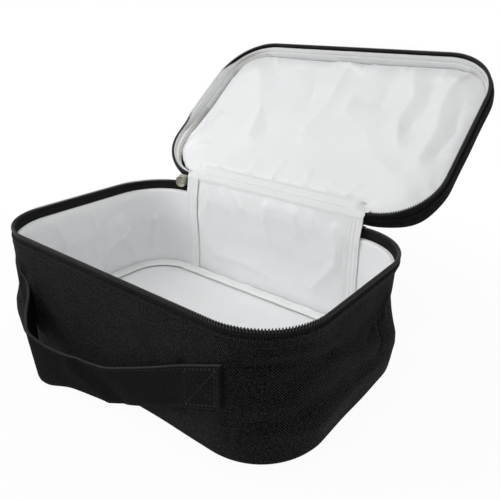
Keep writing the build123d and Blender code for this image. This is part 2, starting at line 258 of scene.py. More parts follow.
def modify(piece, kind, **settings):
    """Adds a modifier and applies it."""
    only(piece)
    made = piece.modifiers.new(kind.title(), kind)
    for name, value in settings.items():
        setattr(made, name, value)
    bpy.ops.object.modifier_apply(modifier=made.name)


def points_of(piece):
    """A piece's points, in millimetres."""
    flat = np.empty(len(piece.data.vertices) * 3)
    piece.data.vertices.foreach_get("co", flat)
    return flat.reshape(-1, 3) / MM


def move_points(piece, points):
    """Puts a piece's points at places in millimetres."""
    piece.data.vertices.foreach_set("co", (np.asarray(points) * MM).ravel())
    piece.data.update()


def primitive(kind, **settings):
    """Adds one of the ready-made shapes and selects it alone."""
    bpy.ops.object.select_all(action="DESELECT")
    getattr(bpy.ops.mesh, "primitive_" + kind + "_add")(**settings)
    return bpy.context.object


def from_faces(name, points, faces):
    """A piece made of points in millimetres and faces between them."""
    mesh = bpy.data.meshes.new(name)
    mesh.from_pydata((np.asarray(points) * MM).tolist(), [], faces)
    made = bpy.data.objects.new(name, mesh)
    bpy.context.collection.objects.link(made)
    return made


def faces_out(piece):
    """Turns all of a closed piece's faces outwards."""
    edit(piece, lambda: bpy.ops.mesh.normals_make_consistent(inside=False))


def grid(name, across, up):
    """A flat square of quads, one unit wide, lying from the origin."""
    made = primitive("grid", x_subdivisions=across, y_subdivisions=up, size=1, location=(0.5, 0.5, 0))
    made.name = made.data.name = name
    bpy.ops.object.transform_apply(location=True)
    return made


def block(name, size, spot=(0, 0, 0), bevel=0.3, segments=3, corner=0.0):
    """A small metal or cloth block with rounded edges: its upright corners first, then all the others."""
    made = primitive("cube", size=1, location=(0, 0, 0))
    made.name = made.data.name = name
    stretch = Matrix.Diagonal([part * MM for part in size] + [1])
    made.data.transform(Matrix.Translation(Vector(spot) * MM) @ stretch)
    if corner:
        only(made)
        bpy.ops.object.mode_set(mode="EDIT")
        bpy.ops.mesh.select_all(action="DESELECT")
        bpy.ops.object.mode_set(mode="OBJECT")
        for line in made.data.edges:
            first, second = (made.data.vertices[corner_at].co for corner_at in line.vertices)
            line.select = abs(first.z - second.z) > 0.5 * size[2] * MM
        bpy.ops.object.mode_set(mode="EDIT")
        bpy.ops.mesh.select_mode(type="EDGE")
        bpy.ops.mesh.bevel(offset=corner * MM, segments=6, affect="EDGES")
        bpy.ops.object.mode_set(mode="OBJECT")
    if bevel:
        modify(made, "BEVEL", width=bevel * MM, segments=segments, limit_method="ANGLE", angle_limit=0.6)
    return made


def join(name, pieces):
    """Joins pieces into one, under a name."""
    bpy.ops.object.select_all(action="DESELECT")
    for piece in pieces:
        piece.select_set(True)
    bpy.context.view_layer.objects.active = pieces[0]
    bpy.ops.object.join()
    pieces[0].name = pieces[0].data.name = name
    return pieces[0]


def spread_uv(piece, u, v):
    """Writes a UV map in real size: one unit is a tenth of a metre."""
    layer = piece.data.uv_layers.active or piece.data.uv_layers.new(name="UVMap")
    owners = np.empty(len(piece.data.loops), int)
    piece.data.loops.foreach_get("vertex_index", owners)
    layer.data.foreach_set("uv", np.stack([u[owners], v[owners]], -1).ravel() / PER_UV)


def face_away(piece, centre, away=True):
    """Turns an open sheet's faces away from a point, or towards it."""
    total = 0.0
    for face in piece.data.polygons:
        total += face.normal.dot(face.center - Vector(centre) * MM) * face.area
    if (total > 0) != away:
        edit(piece, bpy.ops.mesh.flip_normals)


def sheet(name, across, up, place, size, centre, away=True, close=False, thick=0.0):
    """A sheet of cloth: a grid whose shares across and up are put in place, then given its thickness."""
    made = grid(name, across, up)
    shares = points_of(made) * MM
    u, v = shares[:, 0], shares[:, 1]
    spread_uv(made, u * size[0], v * size[1])
    move_points(made, place(u, v))
    if close:
        edit(made, lambda: bpy.ops.mesh.remove_doubles(threshold=0.00001))
    face_away(made, centre, away)
    if thick:
        modify(made, "SOLIDIFY", thickness=thick * MM, offset=-1.0)
    return made


def square_to_outline(u, v):
    """Turns a square's shares into a share of the way out and a distance along the outline."""
    x, y = 2 * u - 1, 2 * v - 1
    out = np.maximum(np.abs(x), np.abs(y))
    safe = np.maximum(out, 1e-9)
    x, y = x / safe, y / safe
    front_half = HINGE_HALF + ARC / 2
    end_half = SIDE_HALF + ARC / 2
    side = np.where(x < 0, -1.0, 1.0)
    front = front_half * np.abs(x)
    end = front_half + end_half * (1 + y)
    back = front_half + 2 * end_half + front_half * (1 - np.abs(x))
    along = np.where(np.abs(y) < np.abs(x), end, np.where(y < 0, front, back))
    return out, side * along


def repeated(name, model, places):
    """Copies one small model to many places, each with its own faces, as one piece."""
    shape = points_of(model)
    faces = [tuple(face.vertices) for face in model.data.polygons]
    points, polygons = [], []
    for index, (spot, along, out) in enumerate(places):
        along = np.asarray(along, float) / np.linalg.norm(along)
        out = np.asarray(out, float) - along * np.dot(out, along)
        out /= np.linalg.norm(out)
        points.append(shape @ np.stack([along, np.cross(out, along), out]) + spot)
        first = index * len(shape)
        polygons += [tuple(first + corner for corner in face) for face in faces]
    bpy.data.objects.remove(model)
    return from_faces(name, np.concatenate(points), polygons)


def stitch_model(length, width):
    """One stitch of thread: a small bean that dips into the cloth at both ends."""
    made = primitive("uv_sphere", segments=6, ring_count=5, radius=0.5)
    shape = points_of(made) * MM
    x = shape[:, 2] * length
    y, z = shape[:, 0] * width, shape[:, 1] * width * 0.8
    dip = -0.35 * width * (2 * x / length) ** 2
    move_points(made, np.stack([x, y, z + dip], -1))
    faces_out(made)
    return made


def lengths_along(points):
    """How far along a line each of its points lies."""
    return np.concatenate([[0], np.cumsum(np.linalg.norm(np.diff(points, axis=0), axis=1))])


def evenly(points, pitch):
    """Points at an even pitch along a line through points, with the direction at each."""
    points = np.asarray(points, float)
    run = lengths_along(points)
    count = max(int(run[-1] / pitch), 1)
    stops = (np.arange(count) + 0.5) * run[-1] / count

    def at(where):
        return np.stack([np.interp(where, run, points[:, axis]) for axis in range(3)], -1)

    return at(stops), at(stops + 0.4) - at(stops - 0.4)


# How much of its pitch a stitch takes up.
STITCH_SHARE = 0.78


def thread(name, rows, thinner=1.0):
    """Rows of stitches: each row is a line of points and the way out of the cloth along it."""
    pitch = sizes().stitch_pitch
    places = []
    for points, outs in rows:
        spots, ways = evenly(points, pitch)
        outs = np.broadcast_to(np.asarray(outs, float), np.shape(points))
        middle = np.linspace(0, len(points) - 1, len(spots))
        for spot, way, at in zip(spots, ways, middle):
            places.append((spot, way, outs[int(round(at))]))
    return repeated(name, stitch_model(pitch * STITCH_SHARE, sizes().stitch_width * thinner), places)


def dress(piece, finish, body, slot, *nodes, smooth=40.0):
    """Smooths a finished piece, gives it its finish, ties it to its body and hides the frame's nodes that it
    covers.
    """
    only(piece)
    bpy.ops.object.shade_smooth_by_angle(angle=math.radians(smooth))
    piece.data.materials.clear()
    piece.data.materials.append(bpy.data.materials[finish])
    if body:
        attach(piece, body)
    if nodes:
        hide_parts(*nodes)
    return piece


# ---------------------------------------------------------------- materials
def fill(tree, node, sockets):
    """Fills a node's sockets with values or links."""
    for name, value in sockets.items():
        if isinstance(value, bpy.types.NodeSocket):
            tree.links.new(value, node.inputs[name])
        else:
            node.inputs[name].default_value = value
    return node


def add_node(tree, kind, sockets=None, **settings):
    """Adds a node, sets what it is and fills its sockets."""
    made = tree.nodes.new("ShaderNode" + kind)
    for name, value in settings.items():
        setattr(made, name, value)
    return fill(tree, made, sockets or {})


def calc(tree, operation, first, second=0.0, clamp=False):
    """One sum on two values or links, which may be sums themselves: (operation, first, second)."""
    first, second = (calc(tree, *part) if isinstance(part, tuple) else part for part in (first, second))
    return add_node(tree, "Math", {0: first, 1: second}, operation=operation, use_clamp=clamp).outputs[0]


def texture(tree, kind, where, scale, more=None, output="Fac", **settings):
    """The pattern of a procedural texture laid over a vector."""
    sockets = {"Vector": where, "Scale": scale, **(more or {})}
    return add_node(tree, "Tex" + kind, sockets, **settings).outputs[output]


def fit(tree, value, low, high, start=0.0, stop=1.0, **settings):
    """A value brought from the range between start and stop to that between low and high."""
    sockets = {"Value": value, "From Min": start, "From Max": stop, "To Min": low, "To Max": high}
    return add_node(tree, "MapRange", sockets, **settings).outputs["Result"]


def mix_colours(tree, share, first, second):
    """Two colours or links mixed by a share."""
    return add_node(tree, "Mix", {"Factor": share, 6: first, 7: second}, data_type="RGBA").outputs[2]


def toned(colour, by):
    """A colour made darker or lighter."""
    return [min(part * by, 1.0) for part in colour[:3]] + [1.0]


def new_group(name, values, outputs=("Height", "Shade")):
    """A shared effect: a node group that takes a vector and named values, and puts out named values."""
    group = bpy.data.node_groups.new(name, "ShaderNodeTree")
    group.interface.new_socket("Vector", in_out="INPUT", socket_type="NodeSocketVector")
    for label, value in values.items():
        group.interface.new_socket(label, in_out="INPUT", socket_type="NodeSocketFloat").default_value = value
    for label in outputs:
        group.interface.new_socket(label, in_out="OUTPUT", socket_type="NodeSocketFloat")
    given = group.nodes.new("NodeGroupInput").outputs
    return group, given, given["Vector"], group.nodes.new("NodeGroupOutput")


def weave_group():
    """Woven cloth: a slanting rib over fine threads, worn in places, with uneven yarn."""
    group, given, where, out = new_group("woven_cloth", {"Rib": 36.0, "Thread": 55.0})
    rib = texture(group, "Wave", where, given["Rib"], {"Distortion": 0.6, "Detail": 1.0, "Detail Scale": 2.0},
                  bands_direction="DIAGONAL")
    across = texture(group, "Wave", where, given["Thread"], bands_direction="X")
    upward = texture(group, "Wave", where, given["Thread"], bands_direction="Y")
    yarn = texture(group, "Noise", where, 9.0, {"Detail": 5.0})
    worn = texture(group, "Noise", where, 4.0, {"Detail": 3.0})
    fleck = texture(group, "Noise", where, 70.0, {"Detail": 2.0})
    shows = fit(group, worn, 0.3, 0.95, 0.35, 0.65)
    fine = ("ADD", ("MULTIPLY", ("MULTIPLY", across, upward), 0.3), ("ADD", ("MULTIPLY", fleck, 1.3), -0.3))
    height = calc(group, "ADD", ("MULTIPLY", ("SUBTRACT", rib, 0.5), shows), fine)
    shade = calc(group, "MULTIPLY", ("POWER", height, 2.0), ("ADD", yarn, 0.9))
    fill(group, out, {"Height": height, "Shade": shade})
    return group


def grain_group():
    """Soft sheet vinyl: slow buckles, small creases and a fine pressed grain."""
    group, given, where, out = new_group("soft_vinyl", {"Size": 1.0})
    slow_scale, small_scale, fine_scale = (
        calc(group, "MULTIPLY", given["Size"], scale) for scale in (2.6, 9.0, 90.0))
    slow = texture(group, "Noise", where, slow_scale, {"Detail": 2.0, "Distortion": 0.8})
    small = texture(group, "Noise", where, small_scale, {"Detail": 3.0, "Distortion": 0.4})
    fine = texture(group, "Voronoi", where, fine_scale, output="Distance")
    broad = ("ADD", ("MULTIPLY", slow, 0.75), ("MULTIPLY", small, 0.22))
    fill(group, out, {"Height": calc(group, "ADD", broad, ("MULTIPLY", fine, 0.03)), "Shade": slow})
    return group


def ribbon_group():
    """Woven tape: fine ribs across its length and a little fuzz."""
    group, given, where, out = new_group("ribbed_tape", {"Ribs": 40.0})
    ribs = texture(group, "Wave", where, given["Ribs"], {"Distortion": 0.4}, bands_direction="X")
    fuzz = texture(group, "Noise", where, 30.0, {"Detail": 4.0})
    height = calc(group, "ADD", ("MULTIPLY", ribs, 0.6), ("MULTIPLY", fuzz, 0.4))
    fill(group, out, {"Height": height, "Shade": fuzz})
    return group


def needle_group():
    """Needle holes: a row of small dark pits at an even pitch along a tape."""
    group, given, where, out = new_group("needle_holes", {"Row": 0.03, "Pitch": 0.035}, ("Holes",))
    parts = add_node(group, "SeparateXYZ", {"Vector": where}).outputs
    share = ("FRACT", ("DIVIDE", parts["X"], given["Pitch"]), 0.0)
    from_hole = ("MULTIPLY", ("SUBTRACT", share, 0.5), given["Pitch"])
    from_row = ("SUBTRACT", parts["Y"], given["Row"])
    away = calc(group, "SQRT", ("ADD", ("POWER", from_hole, 2.0), ("POWER", from_row, 2.0)))
    fill(group, out, {"Holes": fit(group, away, 1.0, 0.0, 0.0045, 0.0085)})
    return group


# The webbing's edges are painted paler this far in, in UV units: a painted highlight where the rounded edges
# catch the light.
HIGHLIGHT_WIDTH = 0.008
# A needle hole shows this share of the tape's colour.
HOLE_SHADE = 0.22


def surface(name, colour, spread, roughness, bump, group=None, coords="UV", values=None, holes=None,
            painted_highlight=None, **shader):
    """A material whose colour, roughness and relief come from a shared effect, round a base colour."""
    material = bpy.data.materials.new(name)
    material.use_nodes = True
    tree = material.node_tree
    where = add_node(tree, "TexCoord").outputs[coords]
    if coords == "Object":
        where = add_node(tree, "Mapping", {"Vector": where, "Scale": (10.0, 10.0, 10.0)}).outputs[0]
    if group:
        effect = add_node(tree, "Group", {"Vector": where, **(values or {})}, node_tree=group).outputs
        height, shade = effect["Height"], effect["Shade"]
    else:
        height = shade = texture(tree, "Noise", where, 14.0, {"Detail": 5.0})
    tint = mix_colours(tree, shade, toned(colour, 1 - spread), toned(colour, 1 + spread))
    if holes:
        needle, row, pitch = holes
        row_sockets = {"Vector": where, "Row": row, "Pitch": pitch}
        pits = add_node(tree, "Group", row_sockets, node_tree=needle).outputs["Holes"]
        tint = mix_colours(tree, pits, tint, toned(colour, HOLE_SHADE))
        height = calc(tree, "SUBTRACT", height, pits)
    # Painted highlight: a band near the edges of the UV's width is painted paler, where a rounded edge would
    # catch the light.
    if painted_highlight:
        edge, paler = painted_highlight
        across = calc(tree, "ABSOLUTE", add_node(tree, "SeparateXYZ", {"Vector": where}).outputs["Y"])
        highlight_share = fit(tree, across, 0.0, 1.0, edge - HIGHLIGHT_WIDTH, edge)
        tint = mix_colours(tree, highlight_share, tint, toned(colour, paler))
    relief = add_node(tree, "Bump", {"Height": height, "Strength": bump[0], "Distance": bump[1] * MM})
    fill(tree, tree.nodes["Principled BSDF"], {
        "Base Color": tint, "Roughness": fit(tree, shade, *roughness), "Normal": relief.outputs["Normal"],
        **{label.replace("_", " "): value for label, value in shader.items()}})


def sizes():
    """The bag's sizes, as set in the sidebar."""
    return bpy.context.scene.carrier_bag_sizes


def colours():
    """The bag's colours, as set in the sidebar."""
    return bpy.context.scene.carrier_bag_colours


# ---------------------------------------------------------------- the cloth's slack
# Each crease: its line as (along, height), its width and how far it stands out, in millimetres.
WALL_CREASES = (
    (((-112, 4), (-118, 30)), 19.0, 2.6),
    (((259, 26), (192, 38), (155, 43), (137, 38), (126, 35), (106, 32)), 4.0, -1.7),
    (((262, 38), (196, 50), (158, 55), (136, 50), (112, 45)), 7.0, 1.3),
    (((70, 59), (102, 71), (139, 71), (180, 57)), 3.6, -1.5),
    (((64, 68), (102, 80), (142, 80), (188, 66)), 6.0, 0.9),
    (((232, 54), (221, 49)), 3.0, -1.2),
    (((235, 34), (242, 55)), 3.0, -1.1),
    (((258, 70), (252, 55)), 4.0, 1.2),
    (((105, 21), (109, 31)), 1.8, -0.8),
    (((112, 20), (115, 31)), 1.8, -0.8),
    (((119, 21), (122, 33)), 1.8, -0.7),
    (((126, 24), (129, 34)), 1.8, -0.6),
    (((-90, 40), (-80, 16)), 6.0, 1.5),
    (((-85, 36), (-87, 66)), 4.0, -1.6),
    (((-130, 44), (-150, 30), (-176, 40)), 5.0, -1.4),
    (((-140, 70), (-185, 62), (-205, 74)), 5.0, -1.2),
    (((-214, 30), (-240, 44)), 4.0, 1.2),
    (((300, 58), (350, 48), (400, 60)), 6.0, -1.1),
    (((320, 24), (372, 30)), 6.0, 1.2),
    (((-300, 34), (-350, 46), (-400, 30)), 6.0, -1.1),
    (((-290, 66), (-345, 72)), 6.0, 1.0),
)
# The strap's stations from its right end to its left: along the bag, out of its face and up.
STRAP_LINE = ((104, 0, 59.4), (89, 0, 52.7), (74, 0, 46), (40, 3.8, 30.9), (8, 8.2, 20.4), (-22, 15.1, 20.6),
              (-44, 21.0, 21.4), (-52, 21.8, 23.2), (-58, 18.8, 27.6), (-65, 14.0, 32.8), (-72, 8.6, 38.2),
              (-80, 3.4, 44.0), (-86, 0.6, 48.2), (-90, 0, 51.0), (-96, 0, 55.2))
STRAP_FACE = span("handle_end_right", 1)[1]
# The strap lies over the front's cloth this far to each side.
STRAP_REACH = 112
# The wall's cloth: how far out of the foam it lies, how high its slow waves and its folds are, how high and
# how long the puckers along its hem are, and the limits of all that.
CLOTH_OUT, CLOTH_WAVES, CLOTH_FOLDS = 0.8, 0.55, 1.35
PUCKER_HEIGHT, PUCKER_LENGTH, PUCKER_DRIFT = 0.16, 7.3, 31
CLOTH_LIMITS = (-0.6, 3.8)


def strap_near(x, height):
    """Where the strap passes, from 0 to 1, and how far out of the wall the cloth may come there."""
    line = np.array(STRAP_LINE[::-1], float)
    middle = np.interp(x, line[:, 0], line[:, 2])
    near = (1 - ease(np.abs(height - middle), 15, 24)) * (1 - ease(np.abs(x), STRAP_REACH - 8, STRAP_REACH))
    return near, np.interp(x, line[:, 0], line[:, 1])


def wall_relief(along, height):
    """How far the wall's cloth stands proud of the foam."""
    x, _, out_x, out_y = plan(along)
    relief = CLOTH_OUT + CLOTH_WAVES * ripple(along, height * 1.4, 5, 60)
    relief += CLOTH_FOLDS * folds(along, height, WALL_CREASES, 0.3)
    puckers = np.sin(along * 2 * math.pi / PUCKER_LENGTH + 2 * np.sin(along / PUCKER_DRIFT))
    relief += PUCKER_HEIGHT * puckers * ease(height, 70, 88)
    relief = np.clip(relief * sizes().slack, *CLOTH_LIMITS)
    near, gap = strap_near(x, height)
    near = near * (np.abs(along) < STRAP_REACH)
    room = -STRAP_FACE - HALF_WIDTH - wall_bulge(height, out_x, out_y) - 0.1 + gap
    relief += near * (np.minimum(relief, room) - relief)
    relief += near * ease(np.abs(x), 70, 84) * (room - relief)
    return relief * (1 - 0.75 * ease(height, 78, CLOTH_TOP)) * ease(height, 0, 7)


# The folds of the lining, on the walls as (along, height) and on the back panel as (across, height).
LINING_CREASES = (
    (((-138, 10), (-150, 44), (-146, 80)), 9.0, 3.0),
    (((-172, 20), (-176, 60), (-170, 82)), 6.0, 2.6),
    (((-204, 10), (-226, 34), (-246, 56)), 5.0, 4.6),
    (((-212, 40), (-206, 78)), 6.0, 2.4),
    (((-262, 12), (-248, 34), (-238, 66)), 5.0, 3.6),
    (((-276, 16), (-284, 60)), 4.0, 3.0),
    (((-190, 58), (-222, 76)), 6.0, 1.6),
    (((150, 12), (162, 78)), 6.0, 3.4),
    (((182, 16), (174, 70)), 5.0, 3.0),
    (((204, 20), (216, 66)), 6.0, 2.6),
    (((238, 16), (250, 54)), 5.0, 2.6),
    (((60, 26), (110, 50)), 9.0, 2.0),
    (((-60, 60), (-20, 34)), 9.0, 2.0),
)
BACK_CREASES = (
    (((-70, 98), (-64, 84), (-66, 70)), 4.0, 1.3),
    (((-46, 98), (-42, 82)), 5.0, 1.6),
    (((-30, 97), (-24, 88)), 3.6, 1.0),
    (((4, 98), (0, 80), (4, 66)), 5.0, 1.3),
    (((30, 98), (36, 78)), 5.0, 1.6),
    (((48, 98), (52, 86)), 3.6, 1.1),
    (((-74, 24), (-20, 34), (30, 20)), 16.0, 1.6),
    (((56, 30), (72, 62), (70, 90)), 8.0, 1.8),
    (((-76, 66), (-70, 40)), 5.0, 1.3),
)


# ---------------------------------------------------------------- the operators, one for each piece
class BAG_OT_finishes(bpy.types.Operator):
    """Mixes the bag's finishes: cloth, webbing, lining, tapes, coil, metal, thread, foam and board"""
    bl_idname = "carrier_bag.finishes"
    bl_label = "Finishes"

    def execute(self, context):
        weave, vinyl, ribbon = weave_group(), grain_group(), ribbon_group()
        names = ("cloth", "tape", "coil", "metal", "lining", "binding")
        cloth, tape, coil, metal, lining, binding = (tuple(getattr(colours(), name)) for name in names)
        # Where the strap's painted edge highlight starts, and how many times paler it is painted.
        selvedge = (sizes().strap_width / 2 / PER_UV, 4.2)
        holes = (needle_group(), 0.07, sizes().stitch_pitch / PER_UV)
        surface("black cloth", cloth, 1.0, (0.85, 0.6), (1.0, 0.8), weave, Specular_IOR_Level=0.04,
                Sheen_Weight=0.02, Sheen_Roughness=0.4)
        surface("black cloth piece", cloth, 0.9, (0.82, 0.62), (0.5, 0.3), weave, "Object",
                Specular_IOR_Level=0.04)
        # The strap is the outer cloth painted at half its colour, as painted shade on the downward-facing
        # strap, with a painted highlight along its edges.
        surface("strap webbing", toned(cloth, 0.5), 0.45, (0.85, 0.66), (0.4, 0.3), weave, painted_highlight=selvedge,
                Specular_IOR_Level=0.03)
        surface("zip tape", tape, 0.5, (0.85, 0.7), (0.5, 0.25), ribbon, values={"Ribs": 34.0},
                Specular_IOR_Level=0.04)
        surface("zip coil", coil, 0.3, (0.3, 0.42), (0.15, 0.1), coords="Object", Specular_IOR_Level=0.45)
        surface("metal", metal, 0.12, (0.5, 0.62), (0.2, 0.1), coords="Object", Metallic=0.35)
        surface("lining", lining, 0.03, (0.42, 0.52), (0.6, 2.6), vinyl, Specular_IOR_Level=0.5,
                Coat_Weight=0.12, Coat_Roughness=0.3)
        surface("binding", binding, 0.22, (0.55, 0.75), (1.0, 0.7), ribbon, values={"Ribs": 26.0},
                holes=holes, Specular_IOR_Level=0.3)
        for name, colour, spread, shine in (
            ("strap thread", toned(cloth, 0.8), 0.4, 0.1),
            ("black thread", toned(cloth, 0.9), 0.3, 0.1),
            ("white thread", binding, 0.08, 0.5),
        ):
            surface(name, colour, spread, (0.5, 0.7), (0.3, 0.1), coords="Object", Specular_IOR_Level=shine)
        surface("foam", (0.72, 0.71, 0.66), 0.1, (0.85, 0.95), (0.5, 0.6), vinyl, "Object", {"Size": 6.0})
        surface("board", (0.3, 0.28, 0.25), 0.2, (0.7, 0.85), (0.3, 0.2), vinyl, "Object", {"Size": 9.0})
        walls = ("front", "back", "left", "right", "front_left", "front_right", "back_left", "back_right")
        foams = ["base_foam", "lid_foam_band"] + ["foam_" + wall for wall in walls]
        for node, finish in [("base_board", "board")] + [(foam, "foam") for foam in foams]:
            for held in bpy.data.objects[node].material_slots:
                held.material = bpy.data.materials[finish]
        return {"FINISHED"}


# Each lamp: its name, its place and what it points at in metres, its size in metres and its power in watts.
LAMPS = (
    ("front lamp", (-0.42, -0.38, 0.4), (-0.02, 0.0, 0.08), 0.3, 1.9),
    ("top lamp", (-0.1, -0.2, 1.1), (0.0, 0.0, 0.05), 0.5, 2.2),
    ("side lamp", (0.8, -0.6, 0.8), (0.0, 0.1, 0.08), 0.6, 1.15),
)
WORLD_LIGHT = 0.4
# The table's width in metres, and how far its top lies under the bag.
TABLE_WIDTH, TABLE_DROP = 8, 0.00002
# From this far out to this far out, in metres, the table turns plain white.
TABLE_FADE = (0.17, 0.5)
# The camera's place in millimetres, which ways are right and back from it, its lens and its sensor's width.
CAMERA_PLACE = (262.07, -270.47, 246.27)
CAMERA_RIGHT, CAMERA_BACK = (0.7853, 0.619, 0.0096), (0.5634, -0.721, 0.4035)
CAMERA_LENS, SENSOR_WIDTH, CLIP_START = 38.76, 36.0, 0.01


def mix_seen(tree, share, lit, seen):
    """One shader for the light that falls on things, and another for what the camera or a gloss sees."""
    rays = add_node(tree, "LightPath").outputs
    camera_or_gloss = ("ADD", rays["Is Camera Ray"], rays["Is Glossy Ray"])
    looks = calc(tree, "ADD", camera_or_gloss, rays["Is Transmission Ray"], clamp=True)
    looks = calc(tree, "MULTIPLY", looks, share)
    mixed = add_node(tree, "MixShader", {0: looks, 1: lit.outputs[0], 2: seen.outputs[0]})
    return {"Surface": mixed.outputs[0]}


class BAG_OT_stage(bpy.types.Operator):
    """Sets the table, the soft lamps and the camera"""
    bl_idname = "carrier_bag.stage"
    bl_label = "Table, lamps and camera"

    def execute(self, context):
        self.set_table()
        self.light_room(context)
        self.place_camera(context)
        context.scene.view_settings.view_transform = "Standard"
        return {"FINISHED"}

    def set_table(self):
        """A table that is whiter the farther it is from the bag, so that it has no horizon."""
        table = primitive("plane", size=1, location=(0, 0, 0))
        table.name = "table"
        table.data.transform(Matrix.Scale(TABLE_WIDTH, 4) @ Matrix.Translation((0, 0, -TABLE_DROP)))
        paint = bpy.data.materials.new("white table")
        paint.use_nodes = True
        tree = paint.node_tree
        where = add_node(tree, "TexCoord").outputs["Object"]
        grain = fit(tree, texture(tree, "Noise", where, 3.0), 0.78, 0.82)
        base = fill(tree, tree.nodes["Principled BSDF"], {"Base Color": grain, "Roughness": 0.9})
        far = add_node(tree, "VectorMath", {0: where}, operation="LENGTH").outputs["Value"]
        whiter = fit(tree, far, sizes().table_glow, 1.0, *TABLE_FADE, interpolation_type="SMOOTHSTEP")
        glow = add_node(tree, "Emission", {"Strength": 1.0})
        fill(tree, tree.nodes["Material Output"], mix_seen(tree, whiter, base, glow))
        table.data.materials.append(paint)

    def light_room(self, context):
        """A room that lights softly and looks white, and the lamps."""
        world = bpy.data.worlds.new("studio")
        context.scene.world = world
        world.use_nodes = True
        tree = world.node_tree
        tree.nodes.clear()
        soft, white = (add_node(tree, "Background", {"Color": (1, 1, 1, 1), "Strength": strength})
                       for strength in (WORLD_LIGHT, 1.0))
        fill(tree, add_node(tree, "OutputWorld"), mix_seen(tree, 1.0, soft, white))
        for name, place, aim, size, power in LAMPS:
            lamp = bpy.data.lights.new(name, "AREA")
            lamp.energy, lamp.size = power, size
            holder = bpy.data.objects.new(name, lamp)
            context.collection.objects.link(holder)
            holder.location = place
            holder.rotation_euler = (Vector(aim) - Vector(place)).to_track_quat("-Z", "Y").to_euler()

    def place_camera(self, context):
        """The camera, where the front right corner and the inside show."""
        eye = bpy.data.cameras.new("camera")
        eye.sensor_width, eye.lens, eye.clip_start = SENSOR_WIDTH, CAMERA_LENS, CLIP_START
        camera = bpy.data.objects.new("camera", eye)
        context.collection.objects.link(camera)
        right, back = Vector(CAMERA_RIGHT).normalized(), Vector(CAMERA_BACK).normalized()
        turn = Matrix((right, back.cross(right).normalized(), back)).transposed().to_4x4()
        camera.matrix_world = Matrix.Translation(Vector(CAMERA_PLACE) * MM) @ turn
        context.scene.camera = camera


class BAG_OT_shell(bpy.types.Operator):
    """Sews the black outer cloth: the wall all round with its creases, and the base under it"""
    bl_idname = "carrier_bag.shell"
    bl_label = "Outer cloth"

    def execute(self, context):
        thick = sizes().cloth_thickness

        def wall(u, v):
            along = (u - 0.5) * AROUND
            height = np.interp(v, (0, 0.03, 0.06, 1), (0.25, 0.8, 3.0, CLOTH_TOP))
            under = 1 - ease(v, 0, 0.03)
            drawn_in = np.stack([1 - 0.03 * under, 1 - 0.045 * under, np.ones_like(v)], -1)
            return on_wall(along, height, wall_relief(along, height)) * drawn_in

        shell = sheet("bag_shell", 600, 60, wall, (AROUND, CLOTH_TOP), BAG_MIDDLE, close=True, thick=thick)
        dress(shell, "black cloth", "body", "outer_cloth", "outer_wall")

        def base(u, v):
            out, along = square_to_outline(u, v)
            edge = on_wall(along, 0.0, -2.0)
            rise = 0.25 * (1 + ripple(u * 280, v * 180, 9, 70)) * (1 - out ** 4)
            return np.stack([edge[:, 0] * out, edge[:, 1] * out, 0.05 + 0.4 * rise], -1)

        bottom = sheet("bag_base", 72, 46, base, FLOOR_SIZE, BAG_MIDDLE, thick=0.6 * thick)
        dress(bottom, "black cloth", "body", "outer_cloth", "base_panel")
        return {"FINISHED"}


# The piping is a flat tape folded over the floor's seam, fuller at its inner edge: its section, as how far in
# from the wall's line and how high, and how far in its stitches draw a groove.
PIPING = ((6.8, 7.3), (6.5, 10.4), (7.4, 12.2), (9.6, 12.8), (11.9, 12.2), (13.9, 10.8), (14.8, 9.5),
          (14.2, 8.8), (12.6, 8.5))
PIPING_GROOVE = 11.4
# The lining: how far out of the foam it lies, how high its slow waves are and how far out it may come at
# most.
WALL_LINING_OUT, BACK_LINING_OUT, LINING_WAVES, LINING_MOST = 0.6, 0.5, 0.8, 5.5


